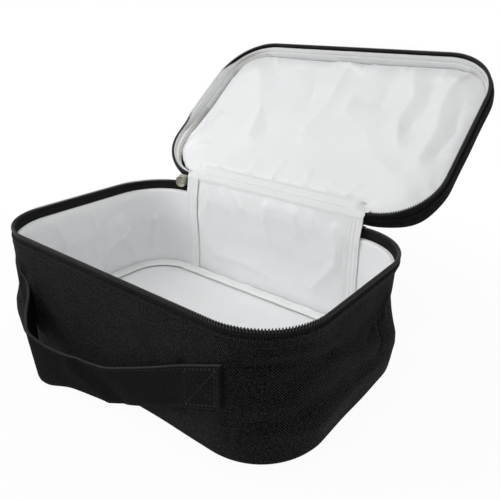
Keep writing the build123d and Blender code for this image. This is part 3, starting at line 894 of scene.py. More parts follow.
class BAG_OT_lining(bpy.types.Operator):
    """Hangs the white lining: walls, back panel and floor, with the piping round the floor"""
    bl_idname = "carrier_bag.lining"
    bl_label = "Lining"

    def execute(self, context):
        reach = BACK_START + HINGE_HALF - BACK_SEAM
        section = rounded_run((0, 0.88, 0.94, 1.0), (
            (-LINING_IN, FLOOR_TOP), (-LINING_IN, 85.0), (-5.0, 87.0), (-2.2, 87.5)))

        def walls(u, v):
            along = (u - 0.5) * 2 * reach
            inset, height = section(v).T
            proud = WALL_LINING_OUT + LINING_WAVES * ripple(along, height * 1.3, 21, 75)
            proud = np.minimum(soft_floor(proud + folds(along, height, LINING_CREASES, 0.5)), LINING_MOST)
            proud *= ease(height, 11, 25) * (1 - 0.85 * ease(height, 74, 88))
            return on_wall(along, height, inset - proud * ease(reach - np.abs(along), 0, 14))

        lined = sheet("lining_walls", 420, 52, walls, (2 * reach, 84.0), BAG_MIDDLE, away=False, thick=0.6)
        dress(lined, "lining", "body", "liner", "wall_liner")

        back_section = rounded_run((0, 0.8, 1.0), ((83.4, FLOOR_TOP), (83.5, 85.6), (86.3, HINGE_TOP + 0.4)))

        def back(u, v):
            x = (u - 0.5) * 2 * BACK_SEAM
            y, height = back_section(v).T
            proud = BACK_LINING_OUT + LINING_WAVES * ripple(x, height, 31, 70)
            proud = soft_floor(proud + folds(x, height, BACK_CREASES, 0.35))
            proud *= ease(height, 8, 20) * (1 - ease(height, 92, 103))
            proud *= ease(BACK_SEAM - 6 - np.abs(x), 0, 9)
            bulge = wall_bulge(np.minimum(height, WALL_TOP), 0.0, 1.0) * (height < WALL_TOP + 1)
            return np.stack([x, y + bulge - proud, height], -1)

        panel = sheet("back_lining", 120, 64, back, (2 * BACK_SEAM, 100.0), BAG_MIDDLE, away=False,
                      thick=LINING_THICK)
        dress(panel, "lining", "body", "liner", "back_liner")

        def floor(u, v):
            out, along = square_to_outline(u, v)
            edge = on_wall(along, FLOOR_TOP, -LINING_IN)
            rise = soft_floor(0.5 + 0.5 * ripple(u * 270, v * 170, 41, 90)) * (1 - ease(out, 0.8, 0.93))
            return np.stack([edge[:, 0] * out, edge[:, 1] * out, FLOOR_TOP + rise], -1)

        ground = sheet("floor_lining", 108, 68, floor, FLOOR_SIZE, BAG_MIDDLE, away=False, thick=LINING_THICK)
        dress(ground, "lining", "body", "liner", "floor_liner")

        ring = rounded_run(np.linspace(0, 1, len(PIPING)), PIPING)

        def piping(u, v):
            along = (u - 0.5) * AROUND
            inset, height = ring(v).T
            lift = 0.3 * ripple(along, 0, 51, 26) + 0.22 * ripple(along, inset * 2, 52, 9)
            lift = lift * ease(height, 8.5, 10) - 0.55 * swell(inset, PIPING_GROOVE, 0.8)
            return on_wall(along, height + lift, -inset)

        far_below = (0, 0, -4000)
        pipe = sheet("floor_piping", 420, 24, piping, (AROUND, 14.0), far_below, close=True)
        dress(pipe, "binding", "body", "binding", "floor_binding", smooth=60)
        return {"FINISHED"}


def coil_run(name, line, out, wide, tall, body, node):
    """One side of the zip's coil: a wire loop for each tooth along a line, so wide and so tall."""
    tooth = primitive("torus", major_segments=10, minor_segments=5, major_radius=0.8, minor_radius=0.44)
    across, rise, along = (points_of(tooth) * MM).T
    move_points(tooth, np.stack([1.15 * along + 0.25 * across, wide * across, tall * rise], -1))
    teeth = repeated(name, tooth, [(spot, way, out) for spot, way in zip(*evenly(line, sizes().coil_pitch))])
    faces_out(teeth)
    dress(teeth, "zip coil", body, "coil", node, smooth=80)


class BAG_OT_rim(bpy.types.Operator):
    """Puts the zip tape, its coil, its end stops and its end tabs round the bag's mouth"""
    bl_idname = "carrier_bag.rim"
    bl_label = "Zip on the bag"

    def execute(self, context):
        tape_low, tape_high = 86.2, ZIP_LINE - 1.9

        def tape(u, v):
            along = (u - 0.5) * 2 * BACK_START
            height = tape_low + v * (tape_high - tape_low)
            sway = 0.18 * ripple(along, height, 61, 24) * (1 - ease(v, 0.5, 0.9))
            return on_wall(along, height, sway - ZIP_TAPE_IN)

        band = sheet("rim_tape", 420, 10, tape, (2 * BACK_START, 10.0), BAG_MIDDLE, thick=ZIP_TAPE_THICK)
        dress(band, "zip tape", "body", "tape", "zip_tape_body", "rim_facing")
        edge = BACK_START - 3.2
        line = on_wall(np.linspace(-edge, edge, 900), ZIP_LINE - 2.1, -1.25)
        coil_run("rim_coil", line, (0, 0, 1), 1.0, 1.35, "body", "zip_coil_body")

        stop = block("stop", (2.6, 2.3, 2.0), bevel=0)
        edit(stop, lambda: bpy.ops.mesh.bevel(offset=0.45 * MM, segments=3, affect="EDGES"))
        ends = on_wall(np.array([-1, 1]) * (BACK_START - 1.5), ZIP_LINE - 1.1, -1.4)
        stops = repeated("zip_stops_metal", stop, [(spot, (1, 0, 0), (0, 0, 1)) for spot in ends])
        dress(stops, "zip coil", "body", "coil", "zip_stops")

        tab = block("tab", (3.6, 8.6, 1.4), bevel=0)
        edit(tab, lambda: bpy.ops.mesh.subdivide(number_cuts=3),
             lambda: bpy.ops.mesh.vertices_smooth(factor=0.5, repeat=2))
        height = sum(span("zip_end_tabs", 2)) / 2
        ends = [(side * (HINGE_HALF - 1.85), HALF_WIDTH - 1.8, height) for side in (-1, 1)]
        tabs = repeated("zip_tape_tabs", tab, [(spot, (1, 0, 0), (0, -1, 0)) for spot in ends])
        dress(tabs, "black cloth piece", "body", "tape", "zip_end_tabs")
        return {"FINISHED"}


# The lid's heights above the zip line: its top, the seam round it, its lower edge and its padded panel.
LID_DEPTH, LID_SEAM, LID_HEM, PANEL_LOW = 21.0, 14.0, 6.5, 15.5
# How far in from the edge the padded panel and the side lining lie.
PANEL_IN, LID_LINING_IN = 4.6, 4.7
LID_MIDDLE = lid_place(0.0, 0.0, 12.0)
LID_UP = lid_place(0.0, 0.0, 1.0) - lid_place(0.0, 0.0, 0.0)


def hem_of(along):
    """How far the lid's edge is drawn up: fully over the hinge, and easing in at the slider's place."""
    over_hinge = (np.abs(along) > BACK_START - 0.3) * 1.0
    over_slider = ease(-along, END_STOP - 20.0, END_STOP + 6.0)
    return np.maximum(over_hinge, over_slider)


class BAG_OT_lid(bpy.types.Operator):
    """Makes the lid's outside: its crowned panel and the strip of cloth round its edge"""
    bl_idname = "carrier_bag.lid"
    bl_label = "Lid"

    def execute(self, context):
        round_edge = rounded_run((0, 0.2, 0.34, 0.48, 0.62, 0.66, 1.0), (
            (-8.0, LID_DEPTH - 0.1), (-4.6, LID_DEPTH - 0.2), (-1.6, LID_DEPTH - 1.6),
            (-0.1, LID_DEPTH - 4.6), (0.0, LID_SEAM + 0.4), (0.25, LID_SEAM), (0.0, LID_HEM)))

        def side(u, v):
            along = (u - 0.5) * AROUND
            out, height = round_edge(v).T
            soft = np.clip(0.22 + 0.22 * ripple(along, height, 71, 40), -0.1, 0.6)
            full = ease(along, END_START - 40, END_START) * (1 - ease(along, END_STOP + 10, END_STOP + 50))
            full = 0.4 * full * np.sin(np.clip((LID_DEPTH - height) / (LID_DEPTH - LID_HEM), 0, 1) * math.pi)
            return on_lid(along, height, out + (soft + full) * ease(v, 0.2, 0.4))

        gusset = sheet("lid_side_cloth", 520, 24, side, (AROUND, 26.0), LID_MIDDLE, close=True,
                       thick=LID_CLOTH_THICK)

        def top(u, v):
            out, along = square_to_outline(u, v)
            x, y, _, _ = plan(along, -7.4 + corner_push(along, LID_DEPTH) + slider_push(along, LID_DEPTH))
            crown = 1.0 + 0.7 * ripple(u * 280, v * 178, 73, 110)
            height = LID_DEPTH - 0.25 + np.clip(crown, 0, 2.2) * (1 - out ** 3)
            return lid_place(x * out, y * out, height)

        panel = sheet("lid_top_cloth", 110, 70, top, FLOOR_SIZE, LID_MIDDLE, thick=LID_CLOTH_THICK)
        shell = join("lid_shell", [gusset, panel])
        dress(shell, "black cloth", "lid", "outer_cloth", "lid_outer_panel", "lid_gusset")
        return {"FINISHED"}


# How far the padded panel stands out in its middle and, besides, next to the hinge, and how high over the zip
# line the hinge's tape lies.
PANEL_PUFF, HINGE_PUFF, HINGE_TAPE_HEIGHT = 3.4, 2.6, 7.4
# The panel's folds, as (across, forward or back) on the shut lid.
LID_CREASES = (
    (((-101, -56), (-66, -8), (-56, 32)), 12.0, 2.6),
    (((-84, -30), (-40, 20)), 14.0, -1.2),
    (((-3, -78), (3, -37), (0, -7), (-2, 22)), 8.0, 1.9),
    (((-26, -60), (-24, -20)), 9.0, -1.4),
    (((42, -60), (26, -33), (24, -10)), 8.0, 1.8),
    (((56, -70), (50, -30)), 7.0, -1.4),
    (((66, -70), (76, -44), (76, -18), (84, 12)), 9.0, 2.0),
    (((88, -58), (94, -30), (90, -4)), 8.0, -1.3),
    (((104, -66), (106, -34), (112, -6), (108, 24)), 8.0, 1.9),
    (((121, -44), (125, -10), (120, 16)), 6.0, -1.0),
    (((52, 4), (70, 30), (96, 44)), 11.0, 1.2),
    (((-126, 55), (-118, 36), (-108, 10)), 4.0, 1.8),
    (((-130, 40), (-124, 20)), 3.4, -1.2),
    (((-118, 62), (-104, 48)), 3.2, 1.3),
    (((-35, 70), (-33, 58)), 3.6, 0.9),
    (((-10, 71), (-7, 54)), 4.2, 1.1),
    (((9, 72), (13, 64)), 3.0, 0.6),
    (((27, 71), (24, 58)), 3.6, 0.9),
    (((47, 72), (50, 66)), 2.8, 0.5),
    (((-70, 70), (-64, 60)), 3.4, 1.1),
    (((-20, -78), (10, -72)), 4.0, 1.2),
    (((66, 70), (72, 62)), 3.0, 0.9),
    (((-88, -80), (-84, -68)), 3.0, 1.0),
    (((-52, -82), (-48, -66)), 3.4, 0.9),
    (((-14, -82), (-16, -70)), 2.6, 1.0),
    (((22, -82), (18, -66)), 3.4, 1.1),
    (((50, -82), (54, -72)), 2.6, 0.9),
    (((92, -82), (90, -68)), 3.0, 1.2),
    (((112, -76), (106, -64)), 3.0, 1.0),
)


# The pad before it is blown up: its thickness and the size of its faces, and the air and cloth that swell it.
PAD_THICK, PAD_FACES = 4.6, 2.6
PAD_PRESSURE, PAD_STIFFNESS, PAD_QUALITY, PAD_STEPS = 3.0, 12, 4, 14
# The line along the hinge where the pad is drawn in.
HINGE_GROOVE = ((((-90, 73.4), (90, 73.4)), 1.8, -2.0),)


class BAG_OT_lid_pad(bpy.types.Operator):
    """Pads the inside of the lid: a puffed panel of lining over foam, blown up as cloth"""
    bl_idname = "carrier_bag.lid_pad"
    bl_label = "Lid padding"

    def execute(self, context):
        shape = grid("lid_cushion", 90, 56)
        out, along = square_to_outline(*(points_of(shape) * MM)[:, :2].T)
        pushed = 1.5 * corner_push(along, LID_DEPTH) + 0.6 * slider_push(along, LID_DEPTH)
        x, y, _, _ = plan(along, pushed - PANEL_IN)
        puff = PANEL_PUFF * (1 - ease(out, 0.86, 1.0))
        puff += HINGE_PUFF * ease(y * out, 52, 72) * (1 - ease(out, 0.97, 1.0))
        move_points(shape, np.stack([x * out, y * out, PANEL_LOW - 0.6 - puff], -1))
        face_away(shape, (0, 0, 100))
        modify(shape, "SOLIDIFY", thickness=PAD_THICK * MM, offset=-1.0)
        self.blow_up(context, shape)
        modify(shape, "SUBSURF", levels=1, render_levels=1)

        x, y, height = points_of(shape).T
        facing = ease(-np.array([vertex.normal.z for vertex in shape.data.vertices]), 0.2, 0.8)
        edge = np.maximum(np.abs(x) / (HALF_LENGTH - 6), np.abs(y) / (HALF_WIDTH - 6))
        billow = 1.4 * folds(x, y, LID_CREASES, 0.3) * sizes().slack + folds(x, y, HINGE_GROOVE)
        billow += 0.6 * ripple(x, y, 81, 70)
        move_points(shape, lid_place(x, y, height - facing * billow * (1 - ease(edge, 0.93, 1.0))))
        spread_uv(shape, x, y)
        faces_out(shape)
        dress(shape, "lining", "lid", "liner", "lid_liner_panel", "lid_foam_panel", smooth=80)
        return {"FINISHED"}

    def blow_up(self, context, shape):
        """Swells the pad as cloth under pressure, though no farther than its limit, and smooths it."""
        modify(shape, "REMESH", mode="VOXEL", voxel_size=PAD_FACES * MM)
        before = points_of(shape)
        only(shape)
        cloth = shape.modifiers.new("Cloth", "CLOTH")
        cloth.settings.effector_weights.gravity = 0
        cloth.settings.use_pressure = True
        cloth.settings.uniform_pressure_force = PAD_PRESSURE
        cloth.settings.tension_stiffness = cloth.settings.compression_stiffness = PAD_STIFFNESS
        cloth.settings.quality = PAD_QUALITY
        for step in range(1, PAD_STEPS + 1):
            context.scene.frame_set(step)
        bpy.ops.object.modifier_apply(modifier=cloth.name)
        context.scene.frame_set(1)
        moved = points_of(shape) - before
        length = np.linalg.norm(moved, axis=1, keepdims=True)
        after = before + moved * np.minimum(1, sizes().puff_limit / np.maximum(length, 1e-9))
        after[:, 2] = np.clip(after[:, 2], HINGE_TAPE_HEIGHT + 0.4, LID_DEPTH - 1.1)
        move_points(shape, after)
        modify(shape, "SMOOTH", factor=0.5, iterations=3)


def edge_low(along, low, high):
    """The low edge of what goes round the lid: raised from low to high where the hem is drawn up."""
    return low + (high - low) * hem_of(along)


class BAG_OT_lid_edge(bpy.types.Operator):
    """Finishes the lid's edge: its side lining, its white binding, the zip tape and the coil"""
    bl_idname = "carrier_bag.lid_edge"
    bl_label = "Lid edge"

    def execute(self, context):
        lining_low, lining_high = 8.6, PANEL_LOW + 2.2

        def lining(u, v):
            along = (u - 0.5) * AROUND
            height = lining_low + v * (lining_high - lining_low)
            return on_lid(along, height, -LID_LINING_IN - np.clip(0.25 * ripple(along, height, 91, 26), 0, 1))

        side = sheet("lid_side_lining", 420, 8, lining, (AROUND, 7.0), LID_MIDDLE, away=False, close=True,
                     thick=LINING_THICK)
        dress(side, "lining", "lid", "liner", "lid_liner_band")

        fold_tall, fold_top = 6.7, 9.4
        fold = rounded_run((0, 0.25, 0.6, 0.76, 1.0), (
            (-2.2, 0.0), (-3.1, 1.0), (-3.3, 4.8), (-3.5, 6.5), (-5.2, fold_tall)))

        def binding(u, v):
            along = (u - 0.5) * AROUND
            left = ease(-along, END_START - 24, END_START) * (1 - ease(-along, END_STOP - 24, END_STOP))
            low = edge_low(along, 4.4 - 4.4 * left - 3.2 * swell(along, BACK_START - 9, 9), 7.0)
            inset, rise = fold(v).T
            height = low + rise / fold_tall * (fold_top - low) - 0.35 * left * (1 - ease(v, 0.1, 0.4))
            puffed = 0.4 * np.sin(np.clip(v / 0.7, 0, 1) * math.pi) + 0.12 * ripple(along, v * 6, 93, 14)
            return on_lid(along, height, inset + 2.5 * left * (1 - ease(v, 0.0, 0.2)) - puffed)

        bound = sheet("lid_tape", 420, 12, binding, (AROUND, 10.0), LID_MIDDLE, away=False, close=True,
                      thick=BINDING_THICK)
        dress(bound, "binding", "lid", "binding", "lid_binding")

        def tape(u, v):
            along = (u - 0.5) * AROUND
            low = edge_low(along, 1.0, 6.8)
            return on_lid(along, low + v * (9.0 - low), -ZIP_TAPE_IN)

        band = sheet("lid_zip_tape", 420, 8, tape, (AROUND, 8.0), LID_MIDDLE, close=True,
                     thick=ZIP_TAPE_THICK)
        dress(band, "zip tape", "lid", "tape", "zip_tape_lid")

        line = np.linspace(6.0 - BACK_START, BACK_START - 3.2, 1200)
        spots = on_lid(line, 1.1 + 5.6 * hem_of(line), -1.4)
        coil_run("lid_coil", spots, -LID_UP, 1.2, 0.92, "lid", "zip_coil_lid")
        return {"FINISHED"}


class BAG_OT_hinge(bpy.types.Operator):
    """Sews the hinge: the black strip outside and the white tape inside, laid round the hinge line onto the
    open lid
    """
    bl_idname = "carrier_bag.hinge"
    bl_label = "Hinge"

    def execute(self, context):
        outside = [(HALF_WIDTH - 0.05, height) for height in np.linspace(LID_HEM + 0.2, 7.2, 3)]
        cloth = self.strip("hinge_cloth", HINGE_HALF, HALF_WIDTH - 0.05, CLOTH_TOP - 0.2, outside, False)
        dress(cloth, "black cloth", None, "outer_cloth", "hinge_panel")
        inside = ((87.2, 5.9), (85.6, 5.3), (83.0, 5.5), (79.0, 5.5), (76.0, 5.2), (74.8, 5.8), (74.4, 6.6),
                  (75.2, 7.6))
        tape = self.strip("hinge_tape", HINGE_HALF + 0.6, 85.9, 96.0, inside, True)
        dress(tape, "binding", None, "binding", "hinge_binding")
        for piece, start, end in ((cloth, 0.0889, 0.0898), (tape, 0.0868, 0.0916)):
            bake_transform(piece)
        return {"FINISHED"}

    def strip(self, name, half, y, low, lid_run, inner):
        """A strip up the body, round the hinge line and onto the lid. The inner one crumples."""
        centre = np.array(HINGE[1:])
        on_body = [np.array((y, height)) for height in np.linspace(low, HINGE_TOP, 8)]
        onto_lid = [lid_place(0.0, across, height)[1:] for across, height in lid_run]
        first, last = on_body[-1] - centre, onto_lid[0] - centre
        start, stop = math.atan2(first[1], first[0]), math.atan2(last[1], last[0])
        if start < stop:
            start += 2 * math.pi
        arc = []
        for share in np.linspace(0, 1, 14)[1:-1]:
            angle = start + (stop - start) * share
            radius = np.hypot(*first) * (1 - share) + np.hypot(*last) * share
            arc.append(centre + radius * np.array([math.cos(angle), math.sin(angle)]))
        path = np.array(on_body + arc + onto_lid)
        run = lengths_along(path)

        def place(u, v):
            x = (u - 0.5) * 2 * half
            at = v * run[-1]
            near_ends = ease(v, 0.35, 0.5) * ease(np.abs(x), half - 16, half - 4)
            crumple = inner * (near_ends * (ripple(x, at, 111, 9) - 0.6) + 0.2 * ripple(x, at, 113, 22))
            laid = inner * 3.6 * ease(v, 0.5, 0.75) * ease(np.abs(x), half - 13, half - 1)
            y = np.interp(at, run, path[:, 0]) - 0.8 * crumple + laid * LID_UP[1]
            z = np.interp(at, run, path[:, 1]) + 0.3 * crumple + laid * LID_UP[2]
            return np.stack([x + 1.2 * crumple, y, z], -1)

        return sheet(name, 90, 60, place, (2 * half, run[-1]), (0, 60, 90), away=not inner, thick=0.5)


def slider_place(points):
    """Points of the slider, from its own frame (along the zip, up, out of the wall) to where it is."""
    pivot = np.array(joint("pull_swing")["pos_m"]) / MM
    axis = np.array(joint("pull_swing")["axis"])
    out = axis / np.linalg.norm(axis)
    along = np.cross((0.0, 0.0, 1.0), out)
    middle = pivot - along * PULL_LEG
    middle = middle - out * np.dot(middle - np.array([-HINGE_HALF, SIDE_HALF, 0.0]), out)
    middle = middle + out * (CORNER - 1.4)
    middle[2] = ZIP_LINE
    return middle + points[:, :1] * along + points[:, 1:2] * np.array([0, 0, 1]) + points[:, 2:] * out


class BAG_OT_slider(bpy.types.Operator):
    """Casts the zip's slider with its two plates and bridge, and the pull that hangs from it"""
    bl_idname = "carrier_bag.slider"
    bl_label = "Slider and pull"

    def execute(self, context):
        slider = join("slider", [
            block("plate", (10.0, 10.0, 1.0), (-0.8, 0, -2.4), 0.4, 3, 4.2),
            block("plate", (12.0, 10.4, 1.0), (0, 0, 2.0), 0.35, 3, 3.6),
            block("boss", (5.6, 5.6, 0.5), (-0.8, 0, -3.0), 0.22, 2, 2.4),
            *(block("lip", (6.2, 0.9, 0.7), (0, rise, out), 0.2, 2)
              for out in (-1.6, 1.2) for rise in (4.7, -4.7)),
            block("post", (2.2, 2.2, 3.4), (4.8, 1.45, -0.2), 0.3, 2),
            *(block("leg", (0.8, 1.8, 1.6), (along, 0, 3.2), 0.15, 2) for along in (PULL_LEG, -PULL_LEG)),
            block("bridge", (8.4, 1.8, 0.8), (0, 0, 4.2), 0.3, 3),
        ])
        self.seat(slider, (0, 0, 0), "slider", "slider_body")
        # The pull is one flat ring of metal: an eye at the top, a neck, and a grip with a window.
        outer = ((0, 3.6), (-2.4, 2.7), (-3.6, 0), (-3.0, -2.2), (-1.7, -4.2), (-1.7, -5.6), (-3.4, -7.4),
                 (-4.0, -9.4), (-4.0, -16.2), (-3.2, -18.4), (-1.4, -19.0), (0, -19.0))
        pull = self.plate("pull", outer, ((0.0, 0.0, 2.2, 2.2), (0.0, -13.0, 1.7, 3.0)))
        self.seat(pull, (PULL_LEG, 0, 2.75), "pull", "pull_tab")
        return {"FINISHED"}

    def seat(self, piece, shift, body, node):
        """Puts a piece of metal where it is on the zip and finishes it."""
        move_points(piece, slider_place(points_of(piece) + shift))
        faces_out(piece)
        dress(piece, "metal", body, "zip_metal", node, smooth=35)

    def plate(self, name, half, holes):
        """A thin stamped plate with rounded holes, cut through by booleans and softened at its edges."""
        middle, thick = 0.4, 0.8
        outline = [(x, y, middle) for x, y in half] + [(-x, y, middle) for x, y in reversed(half[1:-1])]
        made = from_faces(name, outline, [tuple(range(len(outline)))[::-1]])
        modify(made, "SOLIDIFY", thickness=thick * MM, offset=0.0)
        for x, y, across, tall in holes:
            cutter = primitive("cylinder", vertices=28, radius=1, depth=2)
            cutter.data.transform(Matrix.Translation((x * MM, y * MM, middle * MM))
                                  @ Matrix.Diagonal((across * MM, tall * MM, 3 * MM, 1)))
            modify(made, "BOOLEAN", object=cutter, operation="DIFFERENCE", solver="EXACT")
            bpy.data.objects.remove(cutter)
        modify(made, "BEVEL", width=0.18 * MM, segments=2, limit_method="ANGLE", angle_limit=0.7)
        return made


def strap_run(steps=20):
    """The strap's middle line from its right end to its left, smooth through its stations."""
    line = np.array(STRAP_LINE, float)
    line = np.concatenate([[2 * line[0] - line[1]], line, [2 * line[-1] - line[-2]]])
    spots = []
    for at in range(1, len(line) - 2):
        before, start, stop, after = line[at - 1:at + 3]
        for share in np.linspace(0, 1, steps, endpoint=False):
            spots.append(0.5 * (2 * start + (stop - before) * share
                                + (2 * before - 5 * start + 4 * stop - after) * share ** 2
                                + (3 * start - before - 3 * stop + after) * share ** 3))
    spots.append(line[-2])
    spots = np.array(spots)
    spots[:, 1] = np.maximum(spots[:, 1], 0)
    middle = STRAP_FACE - sizes().strap_thickness / 2
    return np.stack([spots[:, 0], middle - spots[:, 1], spots[:, 2]], -1)


def strap_frame(line):
    """Which way the strap's face looks along its line."""
    ahead = np.gradient(line, axis=0)
    ahead /= np.linalg.norm(ahead, axis=1, keepdims=True)
    face = np.cross(ahead, (0.0, 0.0, 1.0))
    face /= np.linalg.norm(face, axis=1, keepdims=True)
    face *= np.where(face[:, 1:2] > 0, -1, 1)
    return face


# Where the strap kinks, along the bag and across the strap.
STRAP_CREASES = (
    (((-10, 14), (6, 4), (22, -10)), 4.0, -1.5),
    (((-16, 10), (0, -6), (10, -14)), 5.0, 1.2),
    (((10, 14), (30, 2)), 6.0, 0.9),
)


# How far from the strap's middle its topstitches and the corners of its stitched boxes lie.
TOPSTITCH, BOX_HALF = 13.0, 12.2
# Where the stitched boxes end on the left and the right.
BOX_ENDS = {-1: -95.2, 1: 101.8}


def strap_lean(line):
    """How far the strap's top edge leans out from the wall: only where it hangs free."""
    free = STRAP_FACE - sizes().strap_thickness / 2 - line[:, 1]
    return 1.6 * ease(free, 2.0, 12.0)


def strap_rise(line, share):
    """How far the strap's edges are pulled up and down where it bends back to the bag."""
    upper, lower = 6.5 * swell(line[:, :1], -53, 15), 4.6 * swell(line[:, :1], -44, 14)
    return upper * (0.5 + share) - lower * (0.5 - share)


class BAG_OT_strap(bpy.types.Operator):
    """Weaves the webbing strap in two lengths, sewn to the front by a crossed box at each end"""
    bl_idname = "carrier_bag.strap"
    bl_label = "Handle strap"

    def execute(self, context):
        line = strap_run()
        split = int(np.argmin(np.abs(line[:, 0] + 8)))
        for name, part, side, start, end, nodes, sewn_nodes in (
            ("strap_right", line[:split + 1], 1, 74, 42, ("handle_end_right", "handle_strap"),
             ("handle_stitching",)),
            ("strap_left", line[split:], -1, -86, -59, ("handle_end_left",), ()),
        ):
            made = self.webbing(name, part)
            dress(made, "strap webbing", None, "webbing", *nodes, smooth=50)
            sewn = thread(name + "_thread", self.thread_rows(part, side, start))
            dress(sewn, "strap thread", None, "thread", *sewn_nodes)
            for piece in (made, sewn):
                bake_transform(piece)
        return {"FINISHED"}

    def webbing(self, name, line):
        """A length of webbing with thicker selvedges and a topstitched groove near each."""
        half, thick = sizes().strap_width / 2, sizes().strap_thickness / 2
        outer = np.array([1.0, 0.985, 0.93, 0.885, 0.86, 0.83, 0.6, 0.3])
        proud = np.array([0.25, 0.75, 1.0, 0.95, 0.72, 0.95, 1.0, 1.0])
        across = np.concatenate([-outer, [0], outer[::-1]]) * half
        proud = np.concatenate([proud, [1.0], proud[::-1]]) * thick
        across, proud = np.concatenate([across, across[::-1]]), np.concatenate([proud, -proud[::-1]])
        face = strap_frame(line)
        count, around = len(line), len(across)
        every_x, every_height = np.repeat(line[:, :1], around, 1), np.repeat(across[None], count, 0)
        kinks = folds(every_x, every_height, STRAP_CREASES, 0.4)
        lean = across[None, :] / half * strap_lean(line)[:, None] + kinks
        points = line[:, None] + face[:, None] * (proud[None, :] + lean)[:, :, None]
        points[:, :, 2] += across[None, :] + strap_rise(line, across[None, :] / half / 2)
        faces = []
        for row in range(0, (count - 1) * around, around):
            for column in range(around):
                here, beside = row + column, row + (column + 1) % around
                faces.append((here, beside, beside + around, here + around))
        faces += [tuple(range(around))[::-1], tuple(range((count - 1) * around, count * around))]
        made = from_faces(name, points.reshape(-1, 3), faces)
        spread_uv(made, np.repeat(lengths_along(line), around), np.tile(across, count))
        faces_out(made)
        return made

    def thread_rows(self, line, side, start):
        """The strap's two rows of topstitch, and the crossed box on its sewn end."""
        thick, width = sizes().strap_thickness / 2, sizes().strap_width
        face = strap_frame(line)
        rows = []
        for height in (-TOPSTITCH, TOPSTITCH):
            lean = height / width * 2 * strap_lean(line)
            lean += folds(line[:, 0], np.full(len(line), height), STRAP_CREASES, 0.4)
            row = line + face * (thick * 0.8 + lean)[:, None] + np.array([0, 0, height])
            row[:, 2] += strap_rise(line, height / width)[:, 0]
            rows.append((row, face))
        order = np.argsort(line[:, 0])

        def corner(x, rise):
            spot = [np.interp(x, line[order, 0], line[order, axis]) for axis in range(3)]
            return np.array(spot) + np.array([0, -thick * 1.06, rise])

        inner, outer = start + 2.5 * side, BOX_ENDS[side]
        box = [corner(inner, -BOX_HALF), corner(outer, -BOX_HALF), corner(outer, BOX_HALF),
               corner(inner, BOX_HALF)]
        pairs = ((0, 1), (1, 2), (2, 3), (3, 0), (0, 2), (1, 3))
        lines = [(box[first], box[second]) for first, second in pairs]
        second_row = np.array([1.7 * side, 0, 0])
        lines.append((box[1] - second_row, box[2] - second_row))
        return rows + [(np.linspace(first, last, 12), (0, -1, 0)) for first, last in lines]


# Where rows of stitches lie: under the cloth's top edge, under the lid's seam, over the lid's hem, and to
# each side of an upright tape's middle. White thread is thinner than black by this share.
RIM_ROWS, LID_SEAM_ROW, HEM_ROW, TAPE_ROWS, WHITE_THREAD = (1.3, 5.7), 0.9, 7.6, (-4.2, 4.2), 0.8
# Where the hinge tape's two rows lie on the shut lid, as (forward or back, height).
HINGE_ROWS = ((84.6, 4.75), (76.6, 4.65))


class BAG_OT_stitches(bpy.types.Operator):
    """Sews the rows of stitches on the rim, the lid, the bindings and the floor piping"""
    bl_idname = "carrier_bag.stitches"
    bl_label = "Stitching"

    def execute(self, context):
        line = np.linspace(-AROUND / 2, AROUND / 2, 1400)
        _, _, out_x, out_y = plan(line)
        outs = np.stack([out_x, out_y, np.zeros_like(out_x)], -1)
        rim = [(on_wall(line, CLOTH_TOP - low, wall_relief(line, CLOTH_TOP - low) + 0.08), outs)
               for low in RIM_ROWS]
        dress(thread("rim_thread", rim), "black thread", "body", "thread")

        lid_outs = lid_place(out_x, out_y, 0.0) - lid_place(0.0, 0.0, 0.0)
        lid = [(on_lid(line, height, 0.55), lid_outs)
               for height in (LID_SEAM - LID_SEAM_ROW, HEM_ROW + 1.7 * hem_of(line))]
        dress(thread("lid_thread", lid), "black thread", "lid", "thread")

        white = [(on_wall(line, 12.2, -11.3), (0, 0, 1))]
        tall = np.linspace(11, WALL_TOP, 40)
        for side in (-1, 1):
            for shift in TAPE_ROWS:
                middle = TAPE_EDGES[side] - TAPE_WIDTH / 2 - shift * side
                row = on_wall(np.full_like(tall, side * (BACK_START + HINGE_HALF - middle)), tall, -7.15)
                white.append((row, (0, -1, 0)))
        dress(thread("lining_thread", white, WHITE_THREAD), "white thread", "body", "thread")

        bound = [(on_lid(line, HEM_ROW, -3.35), -lid_outs)]
        across = np.linspace(-75, 75, 120)
        for y, height in HINGE_ROWS:
            bound.append((lid_place(across, y, height), -LID_UP))
        dress(thread("lid_tape_thread", bound, WHITE_THREAD), "white thread", "lid", "thread")
        return {"FINISHED"}


class BAG_OT_back_tapes(bpy.types.Operator):
    """Sews the two upright white tapes over the back panel's seams"""
    bl_idname = "carrier_bag.back_tapes"
    bl_label = "Back tapes"

    def execute(self, context):
        section = rounded_run((0, 0.8, 0.9, 1.0), (
            (0.0, 9.6), (0.0, 85.6), (-1.5, 92.0), (-3.3, HINGE_TOP + 0.2)))
        for side, name in ((-1, "left"), (1, "right")):
            def tape(u, v):
                forward, height = section(v).T
                across = TAPE_EDGES[side] - (1 - u if side < 0 else u) * TAPE_WIDTH
                across = across + 0.35 * ripple(height, 0, 101 + side, 50)
                ridges = 0.55 * swell(np.abs(u - 0.5), 0.4, 0.07) + 0.25 * np.cos(u * 8 * math.pi) + 0.5
                points = on_wall(side * (BACK_START + HINGE_HALF - across), np.minimum(height, WALL_TOP),
                                 -6.3 - ridges - 0.45 * ease(height, WALL_TOP, 92))
                points[:, 1] -= forward
                points[:, 2] = height
                return points

            made = sheet("back_tape_" + name, 26, 90, tape, (TAPE_WIDTH, 100.0), BAG_MIDDLE, away=False,
                         thick=0.5)
            # The tape's ribs run across it, so its pattern is turned to lie along it.
            for loop in made.data.uv_layers.active.data:
                loop.uv = (loop.uv[1], loop.uv[0])
            dress(made, "binding", "body", "binding", "back_binding_" + name)
        return {"FINISHED"}


